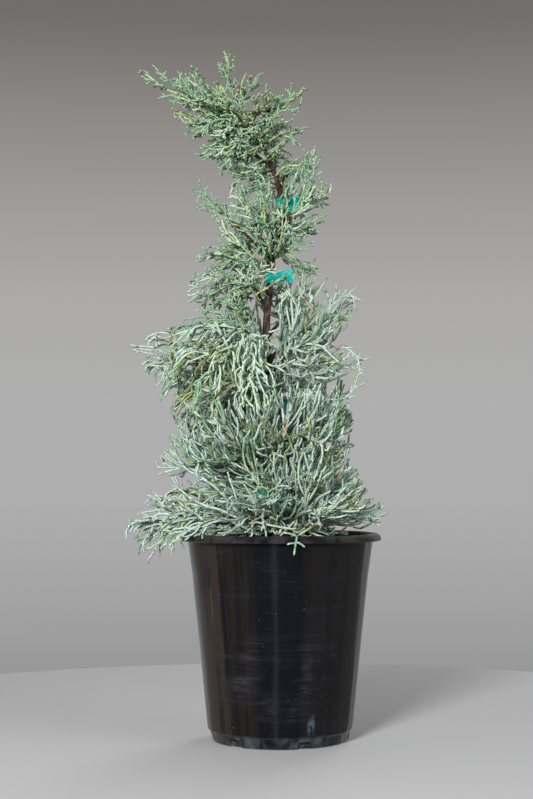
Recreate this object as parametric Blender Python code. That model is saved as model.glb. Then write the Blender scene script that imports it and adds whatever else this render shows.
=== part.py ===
"""A spiral-cut blue cypress growing in a black nursery pot.

The trunk runs whole from the soil to the leader. Its foliage winds round it as a ramp that climbs
anticlockwise, seen from above, and the ramp is cut into masses: five tiers of six sectors, and the leader.
Each mass is one stem with side shoots and leafy sprays fused on, and keeps to its own space.
Metres, +Z up, the origin at the middle of the pot's flat underside, the front facing -Y.
"""

import math
import random

import bmesh
import bpy
import numpy as np
from mathutils import Matrix, Vector
from mathutils.geometry import intersect_point_line

TAU = math.tau
UP = Vector((0.0, 0.0, 1.0))

# ------------------------------------------------------------------ driving sizes
SEAT = 0.0003  # the gap between pieces that touch in life

POT_HEIGHT = 0.2295
POT_RIM_RADIUS = 0.1125
POT_RIM_DROP = 0.0080  # how far the rolled lip hangs below the rim's top
POT_SHOULDER_RADIUS = 0.1032  # the wall just under the lip
POT_BAND_HEIGHT = 0.1870  # where the upper band, which flares more, begins
POT_BAND_RADIUS = 0.0984
POT_BAND_STEP = 0.0005
LIP_FLAT = 0.0063  # the width of the lip's top, which slopes a little
LIP_ROUND = 0.0008
LIP_INSIDE = 0.0006  # how much wider the mouth is than the shoulder
POT_BASE_RADIUS = 0.0815  # the wall just over the foot
POT_BASE_HEIGHT = 0.0180
POT_WALL = 0.0020
WALL_CURL = 0.0010  # how far the wall's lower edge curves in
FOOT_HEIGHT = 0.0120
FOOT_TOP_RADIUS = 0.0790
FOOT_BASE_RADIUS = 0.0755
FOOT_RING = 0.0065  # its thickness, that the drains notch without reaching the soil
DRAINS = 6
DRAIN_FIRST = -70.0  # degrees from +X, seen from above
DRAIN_WIDTH = 0.0220
DRAIN_HEIGHT = 0.0085
DRAIN_DEPTH = 0.0045
DRAIN_TOP_SHARE = 0.72  # its width at the top, as a share of that at the ground
POT_SEGMENTS = 32

SOIL_DEPTH_UNDER_RIM = 0.0130  # at the wall
SOIL_MOUND = 0.0035  # how much higher it lies round the trunk
SOIL_MOUND_RADIUS = 0.0180
SOIL_MOUND_FOOT = 2.2  # its foot's radius, as a share of its top's
SOIL_MOUND_SLOPE = 0.35  # its height there, as a share of its whole height

# The trunk's sway: height over the ground, then how far right and how far back it stands there.
TRUNK_SWAY = (
    (0.220, 0.0000, 0.0000),
    (0.300, -0.0030, 0.0020),
    (0.380, -0.0090, 0.0040),
    (0.455, -0.0155, 0.0020),
    (0.515, -0.0105, -0.0020),
    (0.560, -0.0065, -0.0030),
    (0.608, -0.0010, -0.0010),
    (0.643, -0.0115, 0.0010),
    (0.683, -0.0350, -0.0030),
    (0.711, -0.0490, -0.0050),
    (0.764, -0.0615, -0.0040),
)
# Its radius at some of those heights.
TRUNK_GIRTH = (
    (0.220, 0.0068),
    (0.300, 0.0058),
    (0.455, 0.0044),
    (0.560, 0.0031),
    (0.640, 0.0023),
    (0.764, 0.0010),
)
TRUNK_TOP = 0.700
TRUNK_SIDES = 8
TRUNK_RINGS = 26
TRUNK_RING_POWER = 1.15  # rings lie closer near the ground
TRUNK_LOOK = 0.0150  # how far up and down the trunk a clearance is sought
ROOT_FLARE = 0.55  # extra girth at the soil, as a share
ROOT_FLARE_HEIGHT = 0.0090
ROOT_LOBES = 4
ROOT_LOBE_DEPTH = 0.16

# ------------------------------------------------------------------ the spiral
SECTORS = 6
SIDES = ("right", "front_right", "front_left", "left", "back_left", "back_right")
GROOVE_STEP = 0.5  # turns between the heights below
GROOVE_HEIGHTS = (0.6835, 0.622, 0.531, 0.453, 0.385, 0.349, 0.319, 0.290, 0.262)
GROOVE_HALF_GAPS = ((0.0, 0.0060), (1.5, 0.0060), (2.5, 0.0010))
CROWN_TOPS = (0.728, 0.744, 0.753, 0.742)  # to the right, the front, the left and the back
LEADER_TOP = 0.7637
LEADER_RADIUS = 0.0240
LEADER_FROM = 0.692
LEADER_SHOOTS = (0.30, 0.85, 8)  # how they bow, their sprays' size and how many, as in TIERS below
LEADER_REACH = 0.055
LEADER_STEM = 0.985  # of the way from the trunk's tip to its top
LEADER_FOOT = 0.0025  # how far over the trunk's tip its twigs start
LEADER_TIPS = (0.710, 0.760)  # the heights that its shoots end between
LEADER_NARROWS = 0.0350  # under its top
LEADER_TIP_SHARE = 0.35  # of its radius, that is left there
# The crown's outline: at each height, how far it reaches from the trunk to the right, front, left and back.
OUTLINE = (
    (0.200, 0.080, 0.119, 0.150, 0.080),
    (0.236, 0.117, 0.122, 0.174, 0.124),
    (0.254, 0.123, 0.118, 0.168, 0.126),
    (0.275, 0.102, 0.110, 0.148, 0.118),
    (0.305, 0.089, 0.108, 0.138, 0.112),
    (0.354, 0.090, 0.104, 0.114, 0.106),
    (0.378, 0.087, 0.104, 0.127, 0.106),
    (0.402, 0.103, 0.106, 0.136, 0.106),
    (0.420, 0.111, 0.106, 0.147, 0.104),
    (0.440, 0.093, 0.100, 0.154, 0.098),
    (0.462, 0.095, 0.088, 0.082, 0.090),
    (0.490, 0.099, 0.078, 0.092, 0.086),
    (0.508, 0.076, 0.072, 0.094, 0.080),
    (0.530, 0.054, 0.068, 0.088, 0.074),
    (0.610, 0.058, 0.060, 0.095, 0.066),
    (0.636, 0.060, 0.058, 0.076, 0.064),
    (0.686, 0.054, 0.060, 0.090, 0.062),
    (0.721, 0.087, 0.058, 0.096, 0.058),
    (0.740, 0.080, 0.050, 0.104, 0.050),
    (0.765, 0.040, 0.040, 0.060, 0.040),
)
RIM_CLEARANCE = 0.0020
SOIL_CLEARANCE = 0.0040

# Each tier from the top: how high its stems end, as a share of the ramp's thickness, to the right, the front,
# the left and the back, how its shoots bow, up at their tips where that is above 0, its sprays' size, and
# how many shoots each of its stems bears.
TIERS = (
    ("crown", (0.50, 0.55, 0.92, 0.55), 0.25, 1.05, 8),
    ("upper", (0.50, 0.55, 0.95, 0.60), 0.30, 1.15, 9),
    ("middle", (0.72, 0.50, 0.92, 0.60), -0.10, 1.60, 9),
    ("lower", (0.45, 0.55, 0.20, 0.55), 0.05, 1.65, 9),
    ("skirt", (0.25, 0.30, 0.08, 0.30), -0.10, 1.65, 9),
)
BOUGH_TIERS = ("crown", "upper", "middle")  # whose boughs show
BOUGH_LENGTH = 0.020
BOUGH_RADII = (0.0024, 0.0017)
BOUGH_SIDES = 5
BOUGH_POINTS = 4
FOOT_STEP = 0.0001  # by which a limb's foot is moved out till it clears the trunk
STEM_RADII = (0.0017, 0.0007)
STEM_SIDES = 3
STEM_POINTS = 5
STEM_REACH = 0.98  # of the outline
ROOT_SHARE = 0.22  # of the ramp's thickness, where a bough leaves the trunk
LOWEST_ROOT = 0.012  # over the soil
HIGHEST_ROOT = 0.006  # under the trunk's tip
STEM_RISE_POWER = 0.75
HELD_STEP = 0.0030  # how closely a run is tested
SPACE_MARGIN = 0.0010  # what a twig keeps to the edge of its mass's space
TRUNK_ROOM = 1.25  # how far from the trunk's axis foliage keeps, in the trunk's radii
STEM_STEP = 0.02  # by which a stem that would leave its space is shortened
SHORTEST_STEM = 0.5

# ------------------------------------------------------------------ shoots and sprays
SHOOT_SIDES = 3
SHOOT_RADIUS = 0.0012
SHOOT_RISE = (0.07, 0.93)  # where shoots end, as a share of the ramp's thickness
SHOOT_OFF = 0.84  # and how far to either side, as a share of half a sector
SHOOT_STRAYS = (0.05, 0.08)  # how far they stray from those two
SHOOT_OUT = (0.99, 0.74, 0.95, 0.52, 0.98, 0.84, 0.64)  # and as shares of the reach, in turn
SHOOT_SLOPE = 1.1  # how far towards the trunk a shoot starts, as a share of how far it stands off the stem
SHOOT_START = 0.03  # of the reach, that no shoot leaves the stem within at either end
SHOOT_BOW = 0.22  # of its length
SHOOT_TAPER = 0.8  # its radius at the bend, as a share of that at its root
SHOOT_TWIST = 0.9  # radians, from one shoot to the next
PLUME_SHARE = 0.9  # of the way from bend to tip, that its plume may fill at most
SHRINKS = (1.0, 0.86, 0.72, 0.58, 0.44)
SPRAY_LENGTH = 0.032
SPRAY_WIDTH = 0.0110
SPRAY_THICKNESS = 0.0050
SPRAY_ANGLE = math.radians(36)
SIDE_SPRAY_EVERY = 2  # shoots
SIDE_SPRAY_PLACE = 0.80  # of the way to the shoot's bend
SIDE_SPRAY_TURN = math.radians(45)  # about the shoot, from one to the next
END_SPRAY_PLACE = 1.02  # how far the stem's last spray starts before its tip, in its own lengths
SPRAY_WIDEST = 0.45  # along its own length
SPRAY_ROOT = 0.0010  # how deep it is sunk
SPRAY_TURNS = (0.0, math.radians(60), math.radians(120))  # tried in turn where it would leave the space

# ------------------------------------------------------------------ ties of plastic tape
# Name, height of its middle, and the way its two tails point, in degrees from +X, between two sectors.
TIES = (
    ("tie_upper", 0.594, -30.0),
    ("tie_middle", 0.513, -30.0),
    ("tie_lower", 0.370, -30.0),
    ("tie_base", 0.268, 210.0),
)
TIE_WIDTH = 0.0130
TIE_THICKNESS = 0.0007
TIE_TAILS = (0.0200, 0.0140)
TIE_MARGIN = 0.0015  # what a limb's foot keeps to a tie
TIE_APPROACH = 0.0240  # a limb that starts this little before a tie would cross it
TIE_SLIT = math.radians(50)  # of the turn left open between the tails
TIE_TURN_POINTS = 11
TIE_NECK = (1.25, 0.0010)  # where a tail starts: the turn's radius by the first, and the second beyond that
TIE_TAILS_APART = 2.4  # tape thicknesses
TIE_ROOM = 3.0  # tape thicknesses that foliage keeps from the turn
# A flat between two points of the turn comes nearer the trunk than they do, by this share.
TIE_SAG = math.cos(math.pi / (TIE_TURN_POINTS + 1))


# ------------------------------------------------------------------ objects and materials
def clear_scene():
    for thing in list(bpy.data.objects):
        bpy.data.objects.remove(thing, do_unlink=True)


def material(name, colour, roughness, metallic=0.0):
    """A plain Principled material, made once."""
    made = bpy.data.materials.get(name)
    if made is None:
        made = bpy.data.materials.new(name)
        made.use_nodes = True
        shader = made.node_tree.nodes["Principled BSDF"]
        shader.inputs["Base Color"].default_value = (*colour, 1.0)
        shader.inputs["Roughness"].default_value = roughness
        shader.inputs["Metallic"].default_value = metallic
    return made


def black_plastic():
    return material("black_plastic", (0.012, 0.012, 0.014), 0.28)


def potting_soil():
    return material("potting_soil", (0.045, 0.028, 0.018), 0.95)


def brown_bark():
    return material("brown_bark", (0.130, 0.070, 0.045), 0.85)


def blue_foliage():
    return material("blue_foliage", (0.250, 0.340, 0.250), 0.65)


def teal_tape():
    return material("teal_tape", (0.000, 0.330, 0.290), 0.45)


def object_of(name, bm, finish, smooth=None):
    """A named object from a bmesh, whose faces are turned to point outwards."""
    bmesh.ops.recalc_face_normals(bm, faces=bm.faces[:])
    if bm.calc_volume(signed=True) < 0:
        bmesh.ops.reverse_faces(bm, faces=bm.faces[:])
    mesh = bpy.data.meshes.new(name)
    bm.to_mesh(mesh)
    bm.free()
    made = bpy.data.objects.new(name, mesh)
    made.data.materials.append(finish)
    bpy.context.scene.collection.objects.link(made)
    if smooth is not None:
        mesh.shade_smooth()
        mesh.set_sharp_from_angle(angle=smooth)
    return made


def spun(name, profile, segments, finish):
    """A solid of revolution round Z from a profile that runs from the axis to the axis."""
    bm = bmesh.new()
    points = [bm.verts.new((radius, 0.0, height)) for radius, height in profile]
    edges = [bm.edges.new(pair) for pair in zip(points, points[1:])]
    bmesh.ops.spin(bm, geom=points + edges, cent=(0, 0, 0), axis=UP, angle=TAU, steps=segments)
    bmesh.ops.remove_doubles(bm, verts=bm.verts[:], dist=1e-6)
    return object_of(name, bm, finish, smooth=math.radians(35))


def apply_modifiers(thing):
    """Replaces an object's mesh by what its modifiers make of it."""
    graph = bpy.context.evaluated_depsgraph_get()
    made = bpy.data.meshes.new_from_object(thing.evaluated_get(graph))
    thing.modifiers.clear()
    thing.data = made


# ------------------------------------------------------------------ lines in space
def smooth_table(heights, values, step):
    """Points a step apart on a smooth curve through the given heights and values."""
    slopes = np.gradient(values, heights)
    wanted = np.arange(heights[0], heights[-1] + step / 2, step)
    i = np.clip(np.searchsorted(heights, wanted, side="right") - 1, 0, len(heights) - 2)
    span = heights[i + 1] - heights[i]
    t = (wanted - heights[i]) / span
    found = (
        values[i] * (1 + 2 * t) * (1 - t) ** 2
        + slopes[i] * span * t * (1 - t) ** 2
        + values[i + 1] * t * t * (3 - 2 * t)
        + slopes[i + 1] * span * t * t * (t - 1)
    )
    return wanted, found


SWAY_HEIGHTS, SWAY_RIGHT, SWAY_BACK = np.array(TRUNK_SWAY).T
FINE_HEIGHTS, FINE_RIGHT = smooth_table(SWAY_HEIGHTS, SWAY_RIGHT, 0.001)
_, FINE_BACK = smooth_table(SWAY_HEIGHTS, SWAY_BACK, 0.001)


def trunk_axis(height):
    x, y = (float(np.interp(height, FINE_HEIGHTS, way)) for way in (FINE_RIGHT, FINE_BACK))
    return Vector((x, y, height))


def trunk_radius(height):
    """The trunk's girth at a height, with the root flare."""
    heights, radii = zip(*TRUNK_GIRTH)
    flare = ROOT_FLARE * math.exp(-max(height - soil_top(), 0.0) / ROOT_FLARE_HEIGHT)
    return float(np.interp(height, heights, radii)) * (1 + flare)


def trunk_ring_heights():
    foot = soil_top() + SEAT
    shares = [(i / TRUNK_RINGS) ** TRUNK_RING_POWER for i in range(TRUNK_RINGS + 1)]
    return [foot + (TRUNK_TOP - foot) * share for share in shares]


def trunk_clearance(point):
    """How far a point lies outside the trunk, whose rings are joined by straight runs."""
    clearances = []
    heights = trunk_ring_heights()
    for low, high in zip(heights, heights[1:]):
        if low - TRUNK_LOOK < point.z < high + TRUNK_LOOK:
            start, end = trunk_axis(low), trunk_axis(high)
            share = min(max(intersect_point_line(point, start, end)[1], 0.0), 1.0)
            radius = trunk_radius(low) * (1 - share) + trunk_radius(high) * share
            clearances.append((point - start.lerp(end, share)).length - radius)
    return min(clearances, default=TRUNK_LOOK)


def across(ahead):
    """A level unit vector square to a direction, or one along X where it points straight up."""
    side = ahead.cross(UP)
    return side.normalized() if side.length > 1e-3 else Vector((1.0, 0.0, 0.0))


def frames_along(points, spin=0.0):
    """One matrix a point, with Z along the line, turned as little as possible from one to the next."""
    frames = []
    side = None
    for i, point in enumerate(points):
        ahead = (points[min(i + 1, len(points) - 1)] - points[max(i - 1, 0)]).normalized()
        if side is None:
            side = Matrix.Rotation(spin, 3, ahead) @ across(ahead)
        side = (side - ahead * side.dot(ahead)).normalized()
        frame = Matrix((side, ahead.cross(side), ahead)).transposed().to_4x4()
        frame.translation = point
        frames.append(frame)
    return frames


def limb_rings(points, radii, sides, spin=0.0, first_frame=None):
    """A ring of corners at each point, whose radius is one number or a pair, wide and thick."""
    frames = frames_along(points, spin)
    if first_frame is not None:
        frames[0] = first_frame
    angles = [math.pi / 2 + TAU * i / sides for i in range(sides)]
    rings = []
    for frame, radius in zip(frames, radii):
        wide, thick = radius if isinstance(radius, tuple) else (radius, radius)
        rings.append([frame @ Vector((math.cos(a) * wide, math.sin(a) * thick, 0.0)) for a in angles])
    return rings


def limb_bmesh(points, radii, sides, spin=0.0, first_frame=None):
    """A closed tapering limb from ring to ring. A last radius of 0 gives it a sharp tip."""
    bm = bmesh.new()
    rings = limb_rings(points, radii, sides, spin, first_frame)
    rings = [[bm.verts.new(corner) for corner in ring] for ring in (rings if radii[-1] else rings[:-1])]
    bm.faces.new(list(reversed(rings[0])))
    for low, high in zip(rings, rings[1:]):
        for i in range(sides):
            bm.faces.new((low[i], low[(i + 1) % sides], high[(i + 1) % sides], high[i]))
    if radii[-1]:
        bm.faces.new(rings[-1])
        return bm
    tip = bm.verts.new(points[-1])
    for i in range(sides):
        bm.faces.new((rings[-1][i], rings[-1][(i + 1) % sides], tip))
    return bm


# ------------------------------------------------------------------ the pot and its soil
def wall_radius(height):
    """The outside of the pot's wall, between its foot and its lip."""
    heights = (POT_BASE_HEIGHT, POT_BAND_HEIGHT, POT_HEIGHT - POT_RIM_DROP)
    return float(np.interp(height, heights, (POT_BASE_RADIUS, POT_BAND_RADIUS, POT_SHOULDER_RADIUS)))


def pot():
    """Thin wall, rolled lip and a foot notched by drains. The profile runs up outside and down inside."""
    lip_foot = POT_HEIGHT - POT_RIM_DROP
    outside = [
        (0.0, 0.0),
        (FOOT_BASE_RADIUS, 0.0),
        (FOOT_TOP_RADIUS, FOOT_HEIGHT),
        (POT_BASE_RADIUS - WALL_CURL, FOOT_HEIGHT + WALL_CURL),
        (POT_BASE_RADIUS, POT_BASE_HEIGHT),
        (POT_BAND_RADIUS - POT_BAND_STEP, POT_BAND_HEIGHT - POT_BAND_STEP),
        (POT_BAND_RADIUS, POT_BAND_HEIGHT),
        (POT_SHOULDER_RADIUS, lip_foot - LIP_ROUND * 2),
        (POT_RIM_RADIUS - LIP_ROUND, lip_foot - LIP_ROUND),
        (POT_RIM_RADIUS, lip_foot + LIP_ROUND),
        (POT_RIM_RADIUS - LIP_FLAT + LIP_ROUND, POT_HEIGHT - LIP_ROUND),
        (POT_RIM_RADIUS - LIP_FLAT, POT_HEIGHT),
    ]
    wall_heights = (lip_foot - POT_WALL * 2, POT_BAND_HEIGHT, POT_BASE_HEIGHT)
    inside = [
        (POT_SHOULDER_RADIUS + LIP_INSIDE, POT_HEIGHT - LIP_ROUND * 2),
        *((wall_radius(height) - POT_WALL, height) for height in wall_heights),
        (FOOT_BASE_RADIUS - FOOT_RING, FOOT_HEIGHT),
        (FOOT_BASE_RADIUS - FOOT_RING, POT_WALL),
        (0.0, POT_WALL),
    ]
    shell = spun("pot", outside + inside, POT_SEGMENTS, black_plastic())
    for cutter in [drain_cutter(i) for i in range(DRAINS)]:
        cut = shell.modifiers.new("drain", "BOOLEAN")
        cut.operation = "DIFFERENCE"
        cut.object = cutter
    return shell


def drain_cutter(index):
    """A block wider at the bottom, that notches the foot."""
    turn = math.radians(DRAIN_FIRST + index * 360 / DRAINS)
    bm = bmesh.new()
    bmesh.ops.create_cube(bm, size=1.0)
    for vert in bm.verts:
        half = DRAIN_WIDTH / 2 * (1.0 if vert.co.z < 0 else DRAIN_TOP_SHARE)
        vert.co = Vector((
            FOOT_BASE_RADIUS - DRAIN_DEPTH if vert.co.x < 0 else POT_RIM_RADIUS,
            half if vert.co.y > 0 else -half,
            DRAIN_HEIGHT if vert.co.z > 0 else -DRAIN_DEPTH,
        ))
    cutter = object_of(f"drain_cutter_{index}", bm, black_plastic())
    cutter.rotation_euler.z = turn
    cutter.hide_render = True
    cutter.display_type = "WIRE"
    return cutter


def soil_top():
    return POT_HEIGHT - SOIL_DEPTH_UNDER_RIM + SOIL_MOUND


def soil():
    """The root ball fills the pot, with a low mound that the trunk stands on."""
    level = POT_HEIGHT - SOIL_DEPTH_UNDER_RIM
    inset = POT_WALL + SEAT * 2
    wall_heights = (POT_BASE_HEIGHT + SEAT, POT_BAND_HEIGHT, level)
    profile = [
        (0.0, POT_WALL + SEAT),
        (FOOT_BASE_RADIUS - FOOT_RING - SEAT * 2, POT_WALL + SEAT),
        (FOOT_BASE_RADIUS - FOOT_RING - SEAT * 2, FOOT_HEIGHT + SEAT),
        *((wall_radius(height) - inset, height) for height in wall_heights),
        (SOIL_MOUND_RADIUS * SOIL_MOUND_FOOT, level + SOIL_MOUND * SOIL_MOUND_SLOPE),
        (SOIL_MOUND_RADIUS, soil_top()),
        (0.0, soil_top()),
    ]
    return spun("soil", profile, POT_SEGMENTS, potting_soil())


# ------------------------------------------------------------------ the trunk and its boughs
def trunk():
    """Whole from its flat cut on the soil to the leader, with a lobed root flare."""
    heights = trunk_ring_heights()
    foot = heights[0]
    points = [trunk_axis(height) for height in heights]
    radii = [trunk_radius(height) for height in heights]
    level_cut = Matrix.Translation(points[0])
    bm = limb_bmesh(points, radii, TRUNK_SIDES, first_frame=level_cut)
    for vert in bm.verts:
        axis = trunk_axis(vert.co.z)
        out = Vector((vert.co.x - axis.x, vert.co.y - axis.y, 0.0))
        lobe = math.exp(-(vert.co.z - foot) / ROOT_FLARE_HEIGHT) * ROOT_LOBE_DEPTH
        vert.co += out * lobe * math.cos(ROOT_LOBES * math.atan2(out.y, out.x))
    return object_of("trunk", bm, brown_bark(), smooth=math.radians(60))


class Mass:
    """One mass of foliage: its tier and sector, the line that carries it, and the space that it keeps to."""

    def __init__(self, tier, sector):
        self.tier, self.sector = tier, sector
        self.label, tips, self.lift, self.spray_size, self.shoots = TIERS[tier]
        self.name = f"{self.label}_{SIDES[sector]}"
        self.turn = sector / SECTORS
        angle = -TAU * self.turn
        self.out = Vector((math.cos(angle), math.sin(angle), 0.0))
        low, high = self.heights(tier + self.turn)
        self.thickness = high - low
        self.tip_height = low + by_side(tips, self.turn) * self.thickness
        self.reach = outline(self.tip_height, self.turn) * STEM_REACH
        wanted = max(low + ROOT_SHARE * self.thickness, soil_top() + LOWEST_ROOT)
        self.root_height = off_ties(min(wanted, TRUNK_TOP - HIGHEST_ROOT), self.tip_height)
        self.has_bough = self.label in BOUGH_TIERS
        self.foot_share = self.find_foot()
        bough_shares = np.linspace(self.foot_share, self.stem_share(), BOUGH_POINTS)
        self.boughs = [[self.stem_point(share) for share in bough_shares]] if self.has_bough else []

    def find_foot(self):
        """The share of the line where a limb's upright foot first clears the trunk."""
        radius, sides = (BOUGH_RADII[0], BOUGH_SIDES) if self.has_bough else (STEM_RADII[0], STEM_SIDES)
        share = 0.0
        while True:
            foot, ahead = self.stem_point(share), self.stem_point(share + BOUGH_LENGTH)
            ring = limb_rings([foot, ahead], [radius, radius], sides, first_frame=self.foot_frame(share))[0]
            if min(trunk_clearance(place) for place in [foot, *ring]) >= SEAT:
                return share
            share += FOOT_STEP / self.reach

    def foot_frame(self, share=None):
        """The plane of a limb's foot, upright and facing out from the trunk."""
        side = across(self.out)
        upright = Matrix((side, self.out.cross(side), self.out)).transposed().to_4x4()
        upright.translation = self.stem_point(self.foot_share if share is None else share)
        return upright

    def heights(self, turns):
        """The floor and the ceiling of the ramp at a place on the spiral, in turns from its top."""
        low = groove(turns) + groove_half_gap(turns)
        high = groove(turns - 1) - groove_half_gap(turns - 1) if self.tier else by_side(CROWN_TOPS, turns)
        if self.tier == len(TIERS) - 1:
            low = POT_HEIGHT + RIM_CLEARANCE
        return low, high

    def stem_point(self, share):
        """A point on the line that bough and stem follow, from the trunk's axis to the furthest tip."""
        rise = (self.tip_height - self.root_height) * share**STEM_RISE_POWER
        axis = trunk_axis(self.root_height).lerp(trunk_axis(self.tip_height), share)
        return Vector((axis.x, axis.y, self.root_height + rise)) + self.out * self.reach * share

    def stem_share(self):
        return self.foot_share + (BOUGH_LENGTH / self.reach if self.has_bough else 0.0)

    def stem_end(self):
        """The furthest share of the line that still lies in the mass's space."""
        share = 1.0
        while share > SHORTEST_STEM and not self.holds(self.stem_point(share), STEM_RADII[1]):
            share -= STEM_STEP
        return share

    def point_in_space(self, off, rise, out):
        """A point of this mass's space: turns to the side, and shares of its thickness and of its reach."""
        low, high = self.heights(self.tier + self.turn + off)
        if self.tier == len(TIERS) - 1:
            low = pot_floor(outline(low, self.turn + off) * out)
        height = low + (high - low) * rise
        angle = -TAU * (self.turn + off)
        radius = outline(height, self.turn + off) * out - 2 * SPACE_MARGIN
        return trunk_axis(height) + Vector((math.cos(angle), math.sin(angle), 0.0)) * radius

    def holds(self, point, pad):
        """Whether a point, with pad round it, lies in this mass's space and is clear of the limbs."""
        pad = pad + SPACE_MARGIN
        axis = trunk_axis(point.z)
        out = Vector((point.x - axis.x, point.y - axis.y))
        turn = -math.atan2(out.y, out.x) / TAU
        off = (turn - self.turn + 0.5) % 1.0 - 0.5
        half = 0.5 / SECTORS
        if abs(off) >= half or out.length * math.sin(TAU * (half - abs(off))) < pad:
            return False
        low, high = self.heights(self.tier + self.turn + off)
        if self.tier == len(TIERS) - 1:
            low = pot_floor(math.hypot(point.x, point.y)) - SPACE_MARGIN
        if not low + pad <= point.z <= high - pad or out.length + pad > outline(point.z, self.turn + off):
            return False
        if point.z > LEADER_FROM and out.length < LEADER_RADIUS + pad:
            return False
        if out.length < trunk_radius(point.z) * TRUNK_ROOM + pad:
            return False
        return clear_of_ties(point, pad) and clear_of_lines(self.boughs, point, BOUGH_RADII[0] + pad)


class Leader(Mass):
    """The mass that carries on from the trunk's tip."""

    def __init__(self):
        self.label = self.name = "leader"
        self.lift, self.spray_size, self.shoots = LEADER_SHOOTS
        self.sector = 0
        self.reach = LEADER_REACH
        self.has_bough = False
        self.foot_share = SEAT * 1.5 / (LEADER_TOP - TRUNK_TOP)
        self.boughs = [line for sector in range(SECTORS) for line in Mass(0, sector).boughs]

    def stem_point(self, share):
        return trunk_axis(TRUNK_TOP + (LEADER_TOP - TRUNK_TOP) * share)

    def foot_frame(self, share=None):
        """Square to the trunk's last length, as its tip is."""
        square = frames_along([trunk_axis(height) for height in trunk_ring_heights()[-2:]])[1]
        square.translation = self.stem_point(self.foot_share)
        return square

    def stem_end(self):
        return LEADER_STEM

    def point_in_space(self, off, rise, out):
        height = LEADER_TIPS[0] + (LEADER_TIPS[1] - LEADER_TIPS[0]) * rise
        angle = TAU * off * SECTORS
        radius = LEADER_RADIUS * out * self.narrowing(height) - 2 * SPACE_MARGIN
        return trunk_axis(height) + Vector((math.cos(angle), math.sin(angle), 0.0)) * radius

    def narrowing(self, height):
        return min(1.0, LEADER_TIP_SHARE + (LEADER_TOP - height) / LEADER_NARROWS)

    def holds(self, point, pad):
        pad = pad + SPACE_MARGIN
        axis = trunk_axis(point.z)
        away = math.hypot(point.x - axis.x, point.y - axis.y)
        widest = LEADER_RADIUS * self.narrowing(point.z)
        if not (TRUNK_TOP + LEADER_FOOT + pad < point.z < LEADER_TOP and away + pad < widest):
            return False
        return clear_of_lines(self.boughs, point, BOUGH_RADII[0] + pad)


def by_side(values, turn):
    """Reads four values, to the right, front, left and back, at a turn clockwise from the right."""
    place = (turn % 1.0) * len(values)
    first = int(place) % len(values)
    mix = (1 - math.cos((place - int(place)) * math.pi)) / 2
    return values[first] * (1 - mix) + values[(first + 1) % len(values)] * mix


def groove(turns):
    places = [i * GROOVE_STEP for i in range(len(GROOVE_HEIGHTS))]
    return float(np.interp(turns, places, GROOVE_HEIGHTS))


def groove_half_gap(turns):
    places, gaps = zip(*GROOVE_HALF_GAPS)
    return float(np.interp(turns, places, gaps))


def outline(height, turn):
    """How far the crown reaches from the trunk at a height, at a turn clockwise from the right."""
    heights, *sides = zip(*OUTLINE)
    return by_side([float(np.interp(height, heights, side)) for side in sides], turn)


def pot_floor(radius):
    """The lowest height that foliage may have over the soil, over the rim and outside it."""
    if radius < POT_SHOULDER_RADIUS - SOIL_CLEARANCE:
        return soil_top() + SOIL_CLEARANCE
    if radius < POT_RIM_RADIUS + RIM_CLEARANCE * 2:
        return POT_HEIGHT + RIM_CLEARANCE
    return OUTLINE[0][0]


def off_ties(height, tip_height):
    """The height, near this one, where a limb that ends at tip_height leaves the trunk clear of the ties."""
    beyond = TIE_WIDTH / 2 + BOUGH_RADII[0] + TIE_MARGIN
    way = math.copysign(1.0, tip_height - height)
    for _, tied, _ in TIES:
        if (tip_height - tied) * way > beyond and -TIE_APPROACH < (height - tied) * way < beyond:
            height = tied + beyond * way
        elif abs(height - tied) < beyond:
            height = tied - beyond * way
    return height


def clear_of_lines(lines, point, distance):
    """Whether a point keeps this distance from every line, each given by its points."""
    for line in lines:
        for start, end in zip(line, line[1:]):
            share = intersect_point_line(point, start, end)[1]
            if (point - start.lerp(end, min(max(share, 0.0), 1.0))).length < distance:
                return False
    return True


def clear_of_ties(point, pad):
    for _, height, degrees in TIES:
        if abs(point.z - height) > TIE_WIDTH / 2 + pad:
            continue
        axis = trunk_axis(height)
        along = Vector((math.cos(math.radians(degrees)), math.sin(math.radians(degrees)), 0.0))
        out = Vector((point.x - axis.x, point.y - axis.y, 0.0))
        length = trunk_radius(height) + max(TIE_TAILS)
        nearest = along * min(max(out.dot(along), 0.0), length)
        if (out - nearest).length < trunk_radius(height) + TIE_THICKNESS * TIE_ROOM + pad:
            return False
    return True


def bough(mass):
    """One tapering limb from the trunk to where it enters its mass."""
    shares = np.linspace(mass.foot_share, mass.stem_share() - SEAT / mass.reach, BOUGH_POINTS)
    radii = np.linspace(*BOUGH_RADII, BOUGH_POINTS)
    line = [mass.stem_point(share) for share in shares]
    bm = limb_bmesh(line, radii, BOUGH_SIDES, first_frame=mass.foot_frame())
    return object_of(f"{mass.name}_bough", bm, brown_bark(), smooth=math.radians(60))


# ------------------------------------------------------------------ shoots and sprays
def spread(index, base):
    """Evenly spread numbers from 0 to 1: the digits of a whole number, mirrored about the point."""
    share, place = 0.0, 1.0
    while index:
        place /= base
        share += place * (index % base)
        index //= base
    return share


def all_held(mass, points, pad):
    return all(mass.holds(point, pad) for point in points)


def held_along(mass, points, pad):
    """Whether the straight runs between the points keep to the mass's space."""
    for start, end in zip(points, points[1:]):
        steps = max(2, math.ceil((end - start).length / HELD_STEP))
        if not all_held(mass, [start.lerp(end, (i + 1) / steps) for i in range(steps)], pad):
            return False
    return True


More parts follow.
